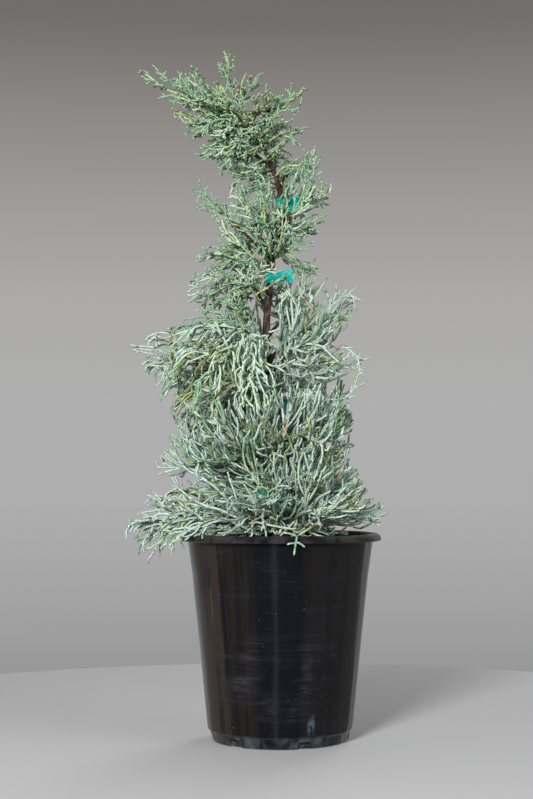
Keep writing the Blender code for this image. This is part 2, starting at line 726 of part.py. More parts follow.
def shoot_tip(mass, index, draw):
    """Where shoot number index would end: on or near the outline of the mass's space."""
    number = index + 1 + mass.sector
    low, high = SHOOT_RISE
    stray_up, stray_aside = (draw.uniform(-stray, stray) for stray in SHOOT_STRAYS)
    rise = low + (high - low) * (spread(number, 2) + stray_up)
    off = SHOOT_OFF * (2 * spread(number, 3) - 1) + stray_aside
    return mass.point_in_space(off * 0.5 / SECTORS, rise, SHOOT_OUT[index % len(SHOOT_OUT)])


def shoot(mass, index, start, end):
    """Side shoot number index of a mass as its points and radii: a twig that ends in a flat leafy plume.

    It is shortened, and then turned about itself, till it fits the mass's space, or is None.
    """
    wanted = shoot_tip(mass, index, random.Random(f"{mass.name} shoot {index}"))
    along = mass.stem_point(end) - mass.stem_point(start)
    nearest = start + (end - start) * (wanted - mass.stem_point(start)).dot(along) / along.length_squared
    off_stem = (wanted - mass.stem_point(min(max(nearest, start), end))).length
    share = min(max(nearest - SHOOT_SLOPE * off_stem / mass.reach, start + SHOOT_START), end - SHOOT_START)
    root = mass.stem_point(share)
    size = mass.spray_size
    for shrink in SHRINKS:
        tip = root.lerp(wanted, shrink)
        bend = root.lerp(tip, 0.5) - UP * (mass.lift * SHOOT_BOW * (tip - root).length)
        plume = min(SPRAY_LENGTH * size / (tip - bend).length, PLUME_SHARE)
        points = [root, bend, bend.lerp(tip, 1 - plume * (1 - SPRAY_WIDEST)), tip]
        widest = (SPRAY_WIDTH / 2 * size, SPRAY_THICKNESS / 2 * size)
        radii = [SHOOT_RADIUS, SHOOT_RADIUS * SHOOT_TAPER, widest, 0.0]
        if not held_along(mass, points, SHOOT_RADIUS / 2):
            continue
        for turn in SPRAY_TURNS:
            spin = index * SHOOT_TWIST + turn
            if all_held(mass, limb_rings(points, radii, SHOOT_SIDES, spin)[2], 0.0):
                return points, radii, spin
    return None


def turned(ahead, spin, angle):
    """A direction that leans away from another by an angle, to the side that spin gives."""
    around = Matrix.Rotation(spin, 3, ahead) @ across(ahead)
    return (ahead * math.cos(angle) + around * math.sin(angle)).normalized()


def spray_points(root, ahead, spin, size):
    """Both ends of a leafy spray, and the ring of four corners where it is widest."""
    side = Matrix.Rotation(spin, 3, ahead) @ across(ahead)
    flat = ahead.cross(side)
    length = SPRAY_LENGTH * size
    middle = root + ahead * length * SPRAY_WIDEST
    wide, thick = side * SPRAY_WIDTH * 0.5 * size, flat * SPRAY_THICKNESS * 0.5 * size
    ring = [middle + wide, middle + thick, middle - wide, middle - thick]
    return root - ahead * SPRAY_ROOT, root + ahead * length, ring


def spray(mass, root, ahead, spin):
    """The largest spray here that keeps to the mass's space, as a long eight-sided spindle, or None."""
    for shrink in SHRINKS[:-1]:
        for turn in SPRAY_TURNS:
            foot, tip, ring = spray_points(root, ahead, spin + turn, mass.spray_size * shrink)
            if all_held(mass, [*ring, tip], 0.0) and held_along(mass, [ring[0], tip], 0.0):
                bm = bmesh.new()
                ends = [bm.verts.new(foot), bm.verts.new(tip)]
                corners = [bm.verts.new(point) for point in ring]
                for i, corner in enumerate(corners):
                    for end in ends:
                        bm.faces.new((corner, corners[(i + 1) % 4], end))
                return bm
    return None


def foliage(mass):
    """Stem, shoots and sprays of one mass, joined into one solid."""
    start, end = mass.stem_share(), mass.stem_end()
    stem_line = [mass.stem_point(share) for share in np.linspace(start, end, STEM_POINTS)]
    radii = [*np.linspace(*STEM_RADII, STEM_POINTS - 1), 0.0]
    foot = None if mass.has_bough else mass.foot_frame()
    parts = [limb_bmesh(stem_line, radii, STEM_SIDES, first_frame=foot)]
    ahead = (stem_line[-1] - stem_line[-2]).normalized()
    end_spray = stem_line[-1] - ahead * SPRAY_LENGTH * mass.spray_size * END_SPRAY_PLACE
    sprays = [(end_spray, ahead, 0.0)]
    for index in range(mass.shoots):
        grown = shoot(mass, index, start, end)
        if grown is None:
            continue
        points, radii, spin = grown
        parts.append(limb_bmesh(points, radii, SHOOT_SIDES, spin))
        root, bend, wide, tip = points
        if index % SIDE_SPRAY_EVERY == 0:
            foot = root.lerp(bend, SIDE_SPRAY_PLACE)
            way = turned((tip - root).normalized(), index * SIDE_SPRAY_TURN, SPRAY_ANGLE)
            sprays.append((foot, way, spin))
    for foot, way, spin in sprays:
        made = spray(mass, foot, way, spin)
        if made is not None:
            parts.append(made)
    return fused(f"{mass.name}_foliage", parts, blue_foliage())


def fused(name, parts, finish):
    """One solid from overlapping parts, by a Boolean union on a collection that is then emptied."""
    body = object_of(name, parts[0], finish)
    others = bpy.data.collections.new(f"{name}_parts")
    bpy.context.scene.collection.children.link(others)
    for number, part in enumerate(parts[1:]):
        piece = object_of(f"{name}_part_{number}", part, finish)
        bpy.context.scene.collection.objects.unlink(piece)
        others.objects.link(piece)
    union = body.modifiers.new("union", "BOOLEAN")
    union.operation = "UNION"
    union.operand_type = "COLLECTION"
    union.collection = others
    apply_modifiers(body)
    for piece in list(others.objects):
        bpy.data.objects.remove(piece, do_unlink=True)
    bpy.data.collections.remove(others)
    return body


# ------------------------------------------------------------------ ties
def tie_frame(height, degrees):
    """A frame on the trunk with Z up the trunk and X the way that the tails point."""
    ahead = (trunk_axis(height + TIE_WIDTH / 2) - trunk_axis(height - TIE_WIDTH / 2)).normalized()
    along = Vector((math.cos(math.radians(degrees)), math.sin(math.radians(degrees)), 0.0))
    along = (along - ahead * along.dot(ahead)).normalized()
    frame = Matrix((along, ahead.cross(along), ahead)).transposed().to_4x4()
    frame.translation = trunk_axis(height)
    return frame


def tie(name, height, degrees):
    """A tape that goes once round the trunk, with both tails pointing the same way."""
    radius = trunk_radius(height - TIE_WIDTH / 2) + SEAT * 1.5 + TIE_THICKNESS
    angles = np.linspace(TIE_SLIT / 2, TAU - TIE_SLIT / 2, TIE_TURN_POINTS)
    ring = [Vector((math.cos(angle), math.sin(angle), 0.0)) * radius / TIE_SAG for angle in angles]
    apart = TIE_THICKNESS * TIE_TAILS_APART / 2
    sides = (apart, -apart)
    tails = [Vector((radius + length, side, 0.0)) for length, side in zip(TIE_TAILS, sides)]
    necks = [Vector((radius * TIE_NECK[0] + TIE_NECK[1], side, 0.0)) for side in sides]
    route = [tails[0], necks[0], *ring, necks[1], tails[1]]
    frame = tie_frame(height, degrees)
    bm = bmesh.new()
    rows = []
    for i, point in enumerate(route):
        way = (route[min(i + 1, len(route) - 1)] - route[max(i - 1, 0)]).normalized()
        thick = way.cross(UP) * TIE_THICKNESS / 2
        tall = UP * TIE_WIDTH / 2
        corners = (thick - tall, thick + tall, tall - thick, -thick - tall)
        rows.append([bm.verts.new(frame @ (point + corner)) for corner in corners])
    for first, second in zip(rows, rows[1:]):
        for j in range(4):
            bm.faces.new((first[j], first[(j + 1) % 4], second[(j + 1) % 4], second[j]))
    bm.faces.new(rows[0])
    bm.faces.new(list(reversed(rows[-1])))
    return object_of(name, bm, teal_tape())


# ------------------------------------------------------------------ assembly
def main():
    clear_scene()
    pot()
    soil()
    trunk()
    for name, height, degrees in TIES:
        tie(name, height, degrees)
    masses = [Mass(tier, sector) for tier in range(len(TIERS)) for sector in range(SECTORS)]
    for mass in [*masses, Leader()]:
        if mass.has_bough:
            bough(mass)
        foliage(mass)


main()
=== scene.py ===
"""A spiral-cut blue cypress in a black nursery pot: its looks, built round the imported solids.

The pot, its potting mix, the ties and the barked trunk with its boughs are modelled pieces. The foliage
is grown by the same rule as the solids: a ramp winds round the trunk and is cut into masses, each a stem
with side shoots that end on the crown's outline. Here every shoot bears cords, and every cord cordlets,
as cypress branchlets do. Metres, +Z up, the front facing -Y.
"""

import math
import random
from typing import NamedTuple

import bpy
import numpy as np
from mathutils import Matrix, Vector, noise


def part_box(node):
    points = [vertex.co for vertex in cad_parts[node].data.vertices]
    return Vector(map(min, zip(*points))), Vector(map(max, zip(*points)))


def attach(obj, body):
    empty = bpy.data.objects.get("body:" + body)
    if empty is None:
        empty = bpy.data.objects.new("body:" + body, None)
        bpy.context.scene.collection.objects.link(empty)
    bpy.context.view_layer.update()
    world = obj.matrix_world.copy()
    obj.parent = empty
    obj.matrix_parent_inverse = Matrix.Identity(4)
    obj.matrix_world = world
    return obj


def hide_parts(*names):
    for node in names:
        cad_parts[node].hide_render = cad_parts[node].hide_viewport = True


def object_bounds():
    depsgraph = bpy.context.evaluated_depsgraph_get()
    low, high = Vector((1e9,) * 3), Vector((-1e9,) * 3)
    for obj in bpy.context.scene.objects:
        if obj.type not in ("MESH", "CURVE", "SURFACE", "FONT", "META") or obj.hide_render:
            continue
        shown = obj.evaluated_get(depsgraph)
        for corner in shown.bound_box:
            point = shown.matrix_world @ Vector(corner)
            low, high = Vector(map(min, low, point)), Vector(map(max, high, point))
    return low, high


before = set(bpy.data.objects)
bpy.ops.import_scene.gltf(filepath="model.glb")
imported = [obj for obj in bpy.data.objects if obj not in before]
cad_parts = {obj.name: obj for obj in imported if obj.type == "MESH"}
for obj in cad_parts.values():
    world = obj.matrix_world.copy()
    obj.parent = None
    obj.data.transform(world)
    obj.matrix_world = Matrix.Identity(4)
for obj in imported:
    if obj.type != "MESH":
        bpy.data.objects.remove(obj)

bl_info = {
    "name": "Potted spiral cypress",
    "version": (1, 0, 0),
    "blender": (4, 5, 0),
    "location": "View3D > Sidebar > Topiary",
    "description": "Dresses a spiral cypress and its nursery pot with bark, foliage, ties and finishes",
    "category": "Add Mesh",
}

CAD_LOW, CAD_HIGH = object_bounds()
TAU = math.tau
MILLIMETRE = 0.001
UP = np.array((0.0, 0.0, 1.0))
BODY = "root"

# ---------------- sizes of the pot and the trunk
POT_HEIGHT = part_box("pot")[1].z
POT_RIM_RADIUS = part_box("pot")[1].x
POT_RIM_DROP = 0.0080
POT_SHOULDER_RADIUS = 0.1032
POT_BAND_HEIGHT = 0.1870
POT_BAND_RADIUS = 0.0984
POT_BASE_RADIUS = 0.0815
POT_BASE_HEIGHT = 0.0180
POT_WALL = 0.0020
FOOT_HEIGHT = 0.0120
FOOT_TOP_RADIUS = 0.0790
FOOT_BASE_RADIUS = 0.0755
FOOT_RING = 0.0065
DRAINS = 6
DRAIN_FIRST = -70.0  # degrees from +X, seen from above
DRAIN_WIDTH = 0.0220
DRAIN_HEIGHT = 0.0085
DRAIN_DEPTH = 0.0045
SOIL_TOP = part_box("soil")[1].z
SOIL_MOUND = 0.0035

# Height over the ground, then how far right and how far back the trunk stands there.
TRUNK_SWAY = (
    (0.220, 0.0000, 0.0000),
    (0.300, -0.0030, 0.0020),
    (0.380, -0.0090, 0.0040),
    (0.455, -0.0155, 0.0020),
    (0.515, -0.0105, -0.0020),
    (0.560, -0.0065, -0.0030),
    (0.608, -0.0010, -0.0010),
    (0.643, -0.0115, 0.0010),
    (0.683, -0.0350, -0.0030),
    (0.711, -0.0490, -0.0050),
    (0.764, -0.0615, -0.0040),
)
TRUNK_GIRTH = (
    (0.220, 0.0068),
    (0.300, 0.0058),
    (0.455, 0.0044),
    (0.560, 0.0031),
    (0.640, 0.0023),
    (0.764, 0.0010),
)
TRUNK_TOP = 0.700
ROOT_FLARE = 0.55
ROOT_FLARE_HEIGHT = 0.0090
ROOT_LOBES = 4
ROOT_LOBE_DEPTH = 0.16

# ---------------- the spiral of the solids, its top trimmed
SECTORS = 6
SIDES = ("right", "front_right", "front_left", "left", "back_left", "back_right")
GROOVE_STEP = 0.5
GROOVE_HEIGHTS = (0.6835, 0.622, 0.531, 0.453, 0.385, 0.349, 0.319, 0.290, 0.262)
GROOVE_HALF_GAPS = ((0.0, 0.0060), (1.5, 0.0060), (2.5, 0.0010))
CROWN_TOPS = (0.718, 0.728, 0.750, 0.728)
LEADER_TOP = 0.7637
LEADER_RADIUS = 0.0240
LEADER_REACH = 0.055
LEADER_TIPS = (0.710, 0.760)
LEADER_NARROWS = 0.0350
LEADER_TIP_SHARE = 0.35
# At each height, how far the crown reaches from the trunk to the right, front, left and back.
OUTLINE = (
    (0.200, 0.080, 0.119, 0.150, 0.080),
    (0.236, 0.117, 0.122, 0.174, 0.124),
    (0.254, 0.123, 0.118, 0.168, 0.126),
    (0.275, 0.102, 0.110, 0.148, 0.118),
    (0.305, 0.089, 0.108, 0.138, 0.112),
    (0.354, 0.090, 0.104, 0.114, 0.106),
    (0.378, 0.087, 0.104, 0.127, 0.106),
    (0.402, 0.103, 0.106, 0.136, 0.106),
    (0.420, 0.111, 0.106, 0.147, 0.104),
    (0.440, 0.093, 0.100, 0.154, 0.098),
    (0.462, 0.095, 0.088, 0.082, 0.090),
    (0.490, 0.099, 0.078, 0.092, 0.086),
    (0.508, 0.076, 0.072, 0.094, 0.080),
    (0.530, 0.054, 0.068, 0.088, 0.074),
    (0.610, 0.058, 0.060, 0.095, 0.066),
    (0.636, 0.060, 0.058, 0.076, 0.064),
    (0.686, 0.054, 0.060, 0.090, 0.062),
    (0.721, 0.087, 0.058, 0.096, 0.058),
    (0.740, 0.080, 0.050, 0.104, 0.050),
    (0.765, 0.040, 0.040, 0.060, 0.040),
)
RIM_CLEARANCE = 0.0020
SOIL_CLEARANCE = 0.0040
# Each tier from the top: how high its stems end, as a share of the ramp's thickness, on each side, and how
# its shoots bow.
TIERS = (
    ("crown", (0.50, 0.55, 0.92, 0.55), 0.25),
    ("upper", (0.50, 0.55, 0.95, 0.60), 0.30),
    ("middle", (0.72, 0.50, 0.92, 0.60), -0.10),
    ("lower", (0.45, 0.55, 0.20, 0.55), 0.05),
    ("skirt", (0.25, 0.30, 0.08, 0.30), -0.10),
)
BOUGH_TIERS = ("crown", "upper", "middle")
BOUGH_LENGTH = 0.020
BOUGH_RADII = (0.0024, 0.0017)
STEM_RADII = (0.0017, 0.0007)
STEM_REACH = 0.98
STEM_RISE_POWER = 0.75
ROOT_SHARE = 0.22
LOWEST_ROOT = 0.012
HIGHEST_ROOT = 0.006
SPACE_MARGIN = 0.0010
TRUNK_ROOM = 1.25
SHOOT_RISE = (0.07, 0.93)
SHOOT_OFF = 0.84
SHOOT_STRAYS = (0.05, 0.08)
SHOOT_OUT = (0.99, 0.74, 0.95, 0.52, 0.98, 0.84, 0.64)
SHOOT_SLOPE = 1.1
SHOOT_START = 0.03
SHOOT_BOW = 0.22
SHRINKS = (1.0, 0.86, 0.72, 0.58, 0.44, 0.30)
TIES = (
    ("tie_upper", 0.594, -30.0),
    ("tie_middle", 0.513, -30.0),
    ("tie_lower", 0.370, -30.0),
    ("tie_base", 0.268, 210.0),
)
TIE_WIDTH = 0.0130
TIE_THICKNESS = 0.0007
TIE_TAILS = (0.0200, 0.0140)
TIE_MARGIN = 0.0015
TIE_APPROACH = 0.0240
TIE_CLEARANCE = 0.0022
SIDE_EASE = 0.74  # how far to either side of its middle twigs of a mass may mingle with the next, in sectors
CORE_RADIUS = 0.022  # round the trunk, where every mass may mingle with the others
# The heights, and the stretch of x about the trunk's axis, where nothing crosses before its bare length.
BARE_HEIGHTS = (0.446, 0.497)
BARE_SIDES = (-0.0075, 0.0110)
BARE_BEFORE = 0.004
RUN_STEPS = 100  # of a smooth curve, between two of its points


# ---------------- the growth rule, on arrays of points
def smooth_table(heights, values, step):
    """Points a step apart on a smooth curve through the given heights and values."""
    slopes = np.gradient(values, heights)
    wanted = np.arange(heights[0], heights[-1] + step / 2, step)
    i = np.clip(np.searchsorted(heights, wanted, side="right") - 1, 0, len(heights) - 2)
    span = heights[i + 1] - heights[i]
    t = (wanted - heights[i]) / span
    found = (
        values[i] * (1 + 2 * t) * (1 - t) ** 2
        + slopes[i] * span * t * (1 - t) ** 2
        + values[i + 1] * t * t * (3 - 2 * t)
        + slopes[i + 1] * span * t * t * (t - 1)
    )
    return wanted, found


def smooth_run(points, count):
    """A smooth curve through points, as an array of count places."""
    points = np.array(points, float)
    last = len(points) - 1
    steps = np.arange(len(points), dtype=float)
    curve = np.stack([smooth_table(steps, way, 1 / RUN_STEPS)[1] for way in points.T], -1)
    places = np.round(np.linspace(0.0, last, count) * RUN_STEPS).astype(int)
    return curve[np.minimum(places, last * RUN_STEPS)]


SWAY_HEIGHTS, SWAY_RIGHT, SWAY_BACK = np.array(TRUNK_SWAY).T
FINE_HEIGHTS, FINE_RIGHT = smooth_table(SWAY_HEIGHTS, SWAY_RIGHT, 0.001)
FINE_BACK = smooth_table(SWAY_HEIGHTS, SWAY_BACK, 0.001)[1]


def trunk_axis(heights):
    """The trunk's middle at each height."""
    heights = np.asarray(heights, float)
    right, back = (np.interp(heights, FINE_HEIGHTS, way) for way in (FINE_RIGHT, FINE_BACK))
    return np.stack([right, back, heights], -1)


def trunk_radius(heights):
    """The trunk's radius at each height, wider at its root."""
    girth_heights, radii = np.array(TRUNK_GIRTH).T
    flare = ROOT_FLARE * np.exp(-np.maximum(heights - SOIL_TOP, 0.0) / ROOT_FLARE_HEIGHT)
    return np.interp(heights, girth_heights, radii) * (1 + flare)


def out_at(turns):
    """Level unit vectors at turns clockwise from the right, seen from above."""
    angles = -TAU * np.asarray(turns, float)
    return np.stack([np.cos(angles), np.sin(angles), np.zeros_like(angles)], -1)


def by_side(values, turns):
    """Reads four rows, to the right, front, left and back, at turns clockwise from the right."""
    rows = np.asarray(values, float)
    place = (np.asarray(turns, float) % 1.0) * len(rows)
    first = place.astype(int) % len(rows)
    mix = (1 - np.cos((place - np.floor(place)) * math.pi)) / 2
    if rows.ndim == 1:
        return rows[first] * (1 - mix) + rows[(first + 1) % len(rows)] * mix
    column = np.arange(rows.shape[1])
    return rows[first, column] * (1 - mix) + rows[(first + 1) % len(rows), column] * mix


def groove(turns):
    """The height of the cut between the turns of the ramp."""
    places = np.arange(len(GROOVE_HEIGHTS)) * GROOVE_STEP
    return np.interp(turns, places, GROOVE_HEIGHTS)


def groove_half_gap(turns):
    places, gaps = np.array(GROOVE_HALF_GAPS).T
    return np.interp(turns, places, gaps)


def outline(heights, turns):
    """How far the crown reaches from the trunk at each height and turn."""
    heights, turns = np.broadcast_arrays(np.asarray(heights, float), turns)
    table = np.array(OUTLINE).T
    sides = [np.interp(heights.ravel(), table[0], side) for side in table[1:]]
    return by_side(sides, turns.ravel()).reshape(heights.shape)


def round_trunk(points):
    """Each point's height, its way from the trunk's axis, and its turn clockwise from the right."""
    height = points[..., 2]
    across = points - trunk_axis(height)
    reach = np.hypot(across[..., 0], across[..., 1])
    return height, reach, -np.arctan2(across[..., 1], across[..., 0]) / TAU


def pot_floor(radii):
    """The lowest height that foliage may have over the soil, over the rim and outside it."""
    beyond = np.where(radii < POT_RIM_RADIUS + RIM_CLEARANCE * 2, POT_HEIGHT + RIM_CLEARANCE, OUTLINE[0][0])
    return np.where(radii < POT_SHOULDER_RADIUS - SOIL_CLEARANCE, SOIL_TOP + SOIL_CLEARANCE, beyond)


def off_ties(height, tip_height):
    """The height, near this one, where a limb that ends at tip_height leaves the trunk clear of the ties."""
    beyond = TIE_WIDTH / 2 + BOUGH_RADII[0] + TIE_MARGIN
    way = math.copysign(1.0, tip_height - height)
    for _, tied, _ in TIES:
        if (tip_height - tied) * way > beyond and -TIE_APPROACH < (height - tied) * way < beyond:
            height = tied + beyond * way
        elif abs(height - tied) < beyond:
            height = tied - beyond * way
    return height


def spread(index, base):
    """Evenly spread numbers from 0 to 1: the digits of a whole number, mirrored about the point."""
    share, place = 0.0, 1.0
    while index:
        place /= base
        share += place * (index % base)
        index //= base
    return share


def clear_of_ties(points):
    """Whether each point lies off the ties and their tails."""
    clear = np.ones(points.shape[:-1], bool)
    for _, height, degrees in TIES:
        along = out_at(-degrees / 360.0)
        away = points - trunk_axis(height)
        beside = np.clip((away @ along), 0.0, float(trunk_radius(height)) + TIE_TAILS[0])
        level = away * (1.0, 1.0, 0.0) - beside[..., None] * along
        near = np.linalg.norm(level, axis=-1) < float(trunk_radius(height)) + TIE_CLEARANCE
        clear &= ~(near & (np.abs(away[..., 2]) < TIE_WIDTH / 2 + TIE_CLEARANCE))
    return clear


def kept_clear(points):
    """Whether each point lies off the ties and doesn't cross before the bare length of trunk."""
    height = points[..., 2]
    away = points - trunk_axis(height)
    level = (height > BARE_HEIGHTS[0]) & (height < BARE_HEIGHTS[1])
    beside = (away[..., 0] > BARE_SIDES[0]) & (away[..., 0] < BARE_SIDES[1])
    return clear_of_ties(points) & ~(level & beside & (away[..., 1] < -BARE_BEFORE))


class Mass:
    """One mass of foliage: its tier and sector, the line that carries it, and the space it grows in."""

    def __init__(self, tier, sector):
        self.tier, self.sector = tier, sector
        self.label, tips, self.lift = TIERS[tier]
        self.name = f"{self.label}_{SIDES[sector]}"
        self.turn = sector / SECTORS
        self.out = out_at(self.turn)
        low, high = (float(side) for side in self.heights(tier + self.turn))
        self.tip_height = low + float(by_side(tips, self.turn)) * (high - low)
        self.reach = float(outline(self.tip_height, self.turn)) * STEM_REACH
        wanted = max(low + ROOT_SHARE * (high - low), SOIL_TOP + LOWEST_ROOT)
        self.root_height = off_ties(min(wanted, TRUNK_TOP - HIGHEST_ROOT), self.tip_height)
        self.has_bough = self.label in BOUGH_TIERS
        foot = float(trunk_radius(self.root_height)) / self.reach
        self.start = foot + (BOUGH_LENGTH / self.reach if self.has_bough else 0.0)
        self.end = 1.0

    def heights(self, turns):
        """The floor and the ceiling of the ramp at places on the spiral, in turns from its top."""
        low = groove(turns) + groove_half_gap(turns)
        above = np.asarray(turns) - 1
        high = groove(above) - groove_half_gap(above) if self.tier else by_side(CROWN_TOPS, turns)
        if self.tier == len(TIERS) - 1:
            low = low * 0.0 + POT_HEIGHT + RIM_CLEARANCE
        return low, high

    def stem_points(self, shares):
        """Points on the line that bough and stem follow, from the trunk's axis to the furthest tip."""
        shares = np.asarray(shares, float)[..., None]
        axis = trunk_axis(self.root_height) * (1 - shares) + trunk_axis(self.tip_height) * shares
        rise = (self.tip_height - self.root_height) * shares**STEM_RISE_POWER
        axis = axis * (1.0, 1.0, 0.0) + UP * (self.root_height + rise)
        return axis + self.out * self.reach * shares

    def point_in_space(self, off, rise, out):
        """A point of this mass's space: turns to the side, and shares of its thickness and of its reach."""
        low, high = self.heights(self.tier + self.turn + off)
        if self.tier == len(TIERS) - 1:
            low = pot_floor(outline(low, self.turn + off) * out)
        height = low + (high - low) * rise
        radius = outline(height, self.turn + off) * out - 2 * SPACE_MARGIN
        return trunk_axis(height) + out_at(self.turn + off) * radius

    def holds(self, points, pad=0.0):
        """Whether each point, with pad round it, lies in this mass's space."""
        height, reach, turns = round_trunk(points)
        off = (turns - self.turn + 0.5) % 1.0 - 0.5
        low, high = self.heights(self.tier + self.turn + off)
        if self.tier == len(TIERS) - 1:
            low = pot_floor(np.hypot(points[..., 0], points[..., 1]))
        below, above = MINGLE.get(self.label, (0.0, 0.0))
        held = (np.abs(off) < SIDE_EASE / SECTORS) | (reach < CORE_RADIUS)
        held &= (low - below + pad <= height) & (height <= high + above - pad)
        held &= reach + pad <= outline(height, self.turn + off)
        held &= reach > trunk_radius(height) * TRUNK_ROOM + pad
        return held & kept_clear(points)


class Leader(Mass):
    """The mass that carries on from the trunk's tip."""

    def __init__(self):
        self.label = self.name = "leader"
        self.lift, self.sector, self.reach = 0.30, 0, LEADER_REACH
        self.has_bough = False
        self.start, self.end = 0.0, 0.985

    def stem_points(self, shares):
        return trunk_axis(TRUNK_TOP + (LEADER_TOP - TRUNK_TOP) * np.asarray(shares, float))

    def point_in_space(self, off, rise, out):
        height = LEADER_TIPS[0] + (LEADER_TIPS[1] - LEADER_TIPS[0]) * rise
        radius = LEADER_RADIUS * out * self.narrowing(height) - 2 * SPACE_MARGIN
        return trunk_axis(height) + out_at(-off * SECTORS) * radius

    def narrowing(self, height):
        return np.minimum(1.0, LEADER_TIP_SHARE + (LEADER_TOP - height) / LEADER_NARROWS)

    def holds(self, points, pad=0.0):
        away = points - trunk_axis(points[..., 2])
        widest = LEADER_RADIUS * self.narrowing(points[..., 2])
        held = np.hypot(away[..., 0], away[..., 1]) + pad < widest
        return held & (points[..., 2] < LEADER_TOP) & (points[..., 2] > TRUNK_TOP)


# ---------------- shoots, cords and cordlets
class Style(NamedTuple):
    """How a tier's foliage grows."""

    shoots: int  # to a mass, out to the outline
    inner: int  # to fill its depth
    core: int  # from the trunk itself
    cords: tuple  # their gap, length and angle, and the share of a line that they leave bare
    cordlets: tuple
    scatter: float  # radians, how far they stray from the plane of their spray
    rise: float  # how far cords turn upward as they grow
    thick: float  # a cord's radius
    weights: tuple  # of the foliage colours, dealt out by spray
    tipped: float  # the share of cords whose tips are this year's growth


# Pale cords are a paler foliage tone that also stands in for highlights: painted highlight, dealt out by
# spray.
FOLIAGE_COLOURS = ("blue", "green", "pale", "straw", "olive")
BLUE, GREEN, PALE_AND_HIGHLIGHT, STRAW, OLIVE, TIP = range(6)  # their places among a piece's materials
STYLES = {
    "leader": Style(
        4, 0, 0, (0.0066, 0.012, 46, 0.1), (0.0058, 0.0070, 44, 0.1), 0.40, 0.6, 0.00115,
        (0.05, 0.90, 0.02, 0.03, 0.00), 0.95,
    ),
    "crown": Style(
        4, 2, 3, (0.0076, 0.024, 46, 0.1), (0.0060, 0.0090, 44, 0.1), 0.35, 0.2, 0.00120,
        (0.07, 0.78, 0.04, 0.03, 0.08), 0.92,
    ),
    "upper": Style(
        4, 1, 0, (0.0084, 0.032, 42, 0.1), (0.0078, 0.0110, 42, 0.15), 0.40, 0.3, 0.00122,
        (0.24, 0.57, 0.14, 0.02, 0.03), 0.88,
    ),
    "middle": Style(
        10, 9, 5, (0.0116, 0.056, 36, 0.1), (0.0160, 0.0150, 36, 0.4), 0.70, 0.6, 0.00122,
        (0.54, 0.22, 0.16, 0.03, 0.05), 0.55,
    ),
    "lower": Style(
        9, 9, 6, (0.0124, 0.070, 32, 0.1), (0.0200, 0.0180, 34, 0.45), 0.70, 1.1, 0.00126,
        (0.64, 0.20, 0.10, 0.02, 0.04), 0.40,
    ),
    "skirt": Style(
        10, 9, 5, (0.0124, 0.064, 32, 0.1), (0.0200, 0.0160, 34, 0.45), 0.70, 0.8, 0.00126,
        (0.64, 0.18, 0.12, 0.02, 0.04), 0.45,
    ),
    "crown_arm": Style(
        0, 0, 0, (0.0064, 0.018, 48, 0.12), (0.0056, 0.0075, 44, 0.1), 0.35, 0.1, 0.00120,
        (0.04, 0.88, 0.05, 0.03, 0.00), 0.95,
    ),
    "upper_arm": Style(
        0, 0, 0, (0.0068, 0.022, 46, 0.12), (0.0064, 0.0085, 44, 0.1), 0.40, 0.2, 0.00116,
        (0.13, 0.70, 0.16, 0.01, 0.00), 0.90,
    ),
    "skirt_arm": Style(
        0, 0, 0, (0.0080, 0.028, 40, 0.2), (0.0110, 0.0110, 40, 0.3), 0.60, -0.5, 0.00120,
        (0.50, 0.36, 0.12, 0.02, 0.00), 0.75,
    ),
    "thicket": Style(
        0, 0, 0, (0.0124, 0.068, 30, 0.25), (0.0220, 0.0180, 34, 0.45), 0.70, 1.0, 0.00126,
        (0.64, 0.18, 0.11, 0.02, 0.05), 0.40,
    ),
    "cascade": Style(
        0, 0, 0, (0.0086, 0.046, 54, 0.08), (0.0120, 0.0130, 40, 0.3), 0.80, -0.7, 0.00118,
        (0.34, 0.26, 0.35, 0.03, 0.02), 0.70,
    ),
}
# How far the cords of some masses turn upward, where it isn't as their tier's do. Below 0 they droop.
OWN_RISE = {
    "middle_left": -0.75,
    "middle_front_left": -0.45,
    "skirt_left": -0.60,
    "skirt_front_left": 0.0,
    "crown_left": 0.45,
}
# Masses with fewer shoots than the rest of their tier's.
OWN_SHARE = {
    "crown_right": 0.25,
    "crown_front_right": 0.45,
    "crown_back_right": 0.60,
    "middle_right": 0.65,
    "middle_front_right": 0.80,
    "middle_back_right": 0.70,
    "lower_left": 0.80,
}
# How far twigs may pass the floor and the ceiling of their tier's ramp, low down where its turns merge.
MINGLE = {"middle": (0.018, 0.0), "lower": (0.024, 0.022), "skirt": (0.0, 0.026)}
INNER_RISE = (-0.20, 1.20)
INNER_OUT = (0.66, 0.40, 0.82, 0.28, 0.54, 0.92, 0.72)
INNER_OFF = {"crown": 1.4, "upper": 0.9, "middle": 1.4, "lower": 1.4, "skirt": 1.4}
INNER_OFF_POWER = 0.65  # below 1 it draws them to the sides of the mass, where two masses meet
CORE_OFF = 0.9
CORE_ROOTS = (0.02, 0.75)
CORE_LIFT = 0.22
CORE_HIGHEST = 0.95
CORE_OUT = (0.62, 0.88, 0.48, 0.76, 0.96, 0.56)
SHOOT_SWAY = 0.32  # how far all the cords of a shoot turn aside together
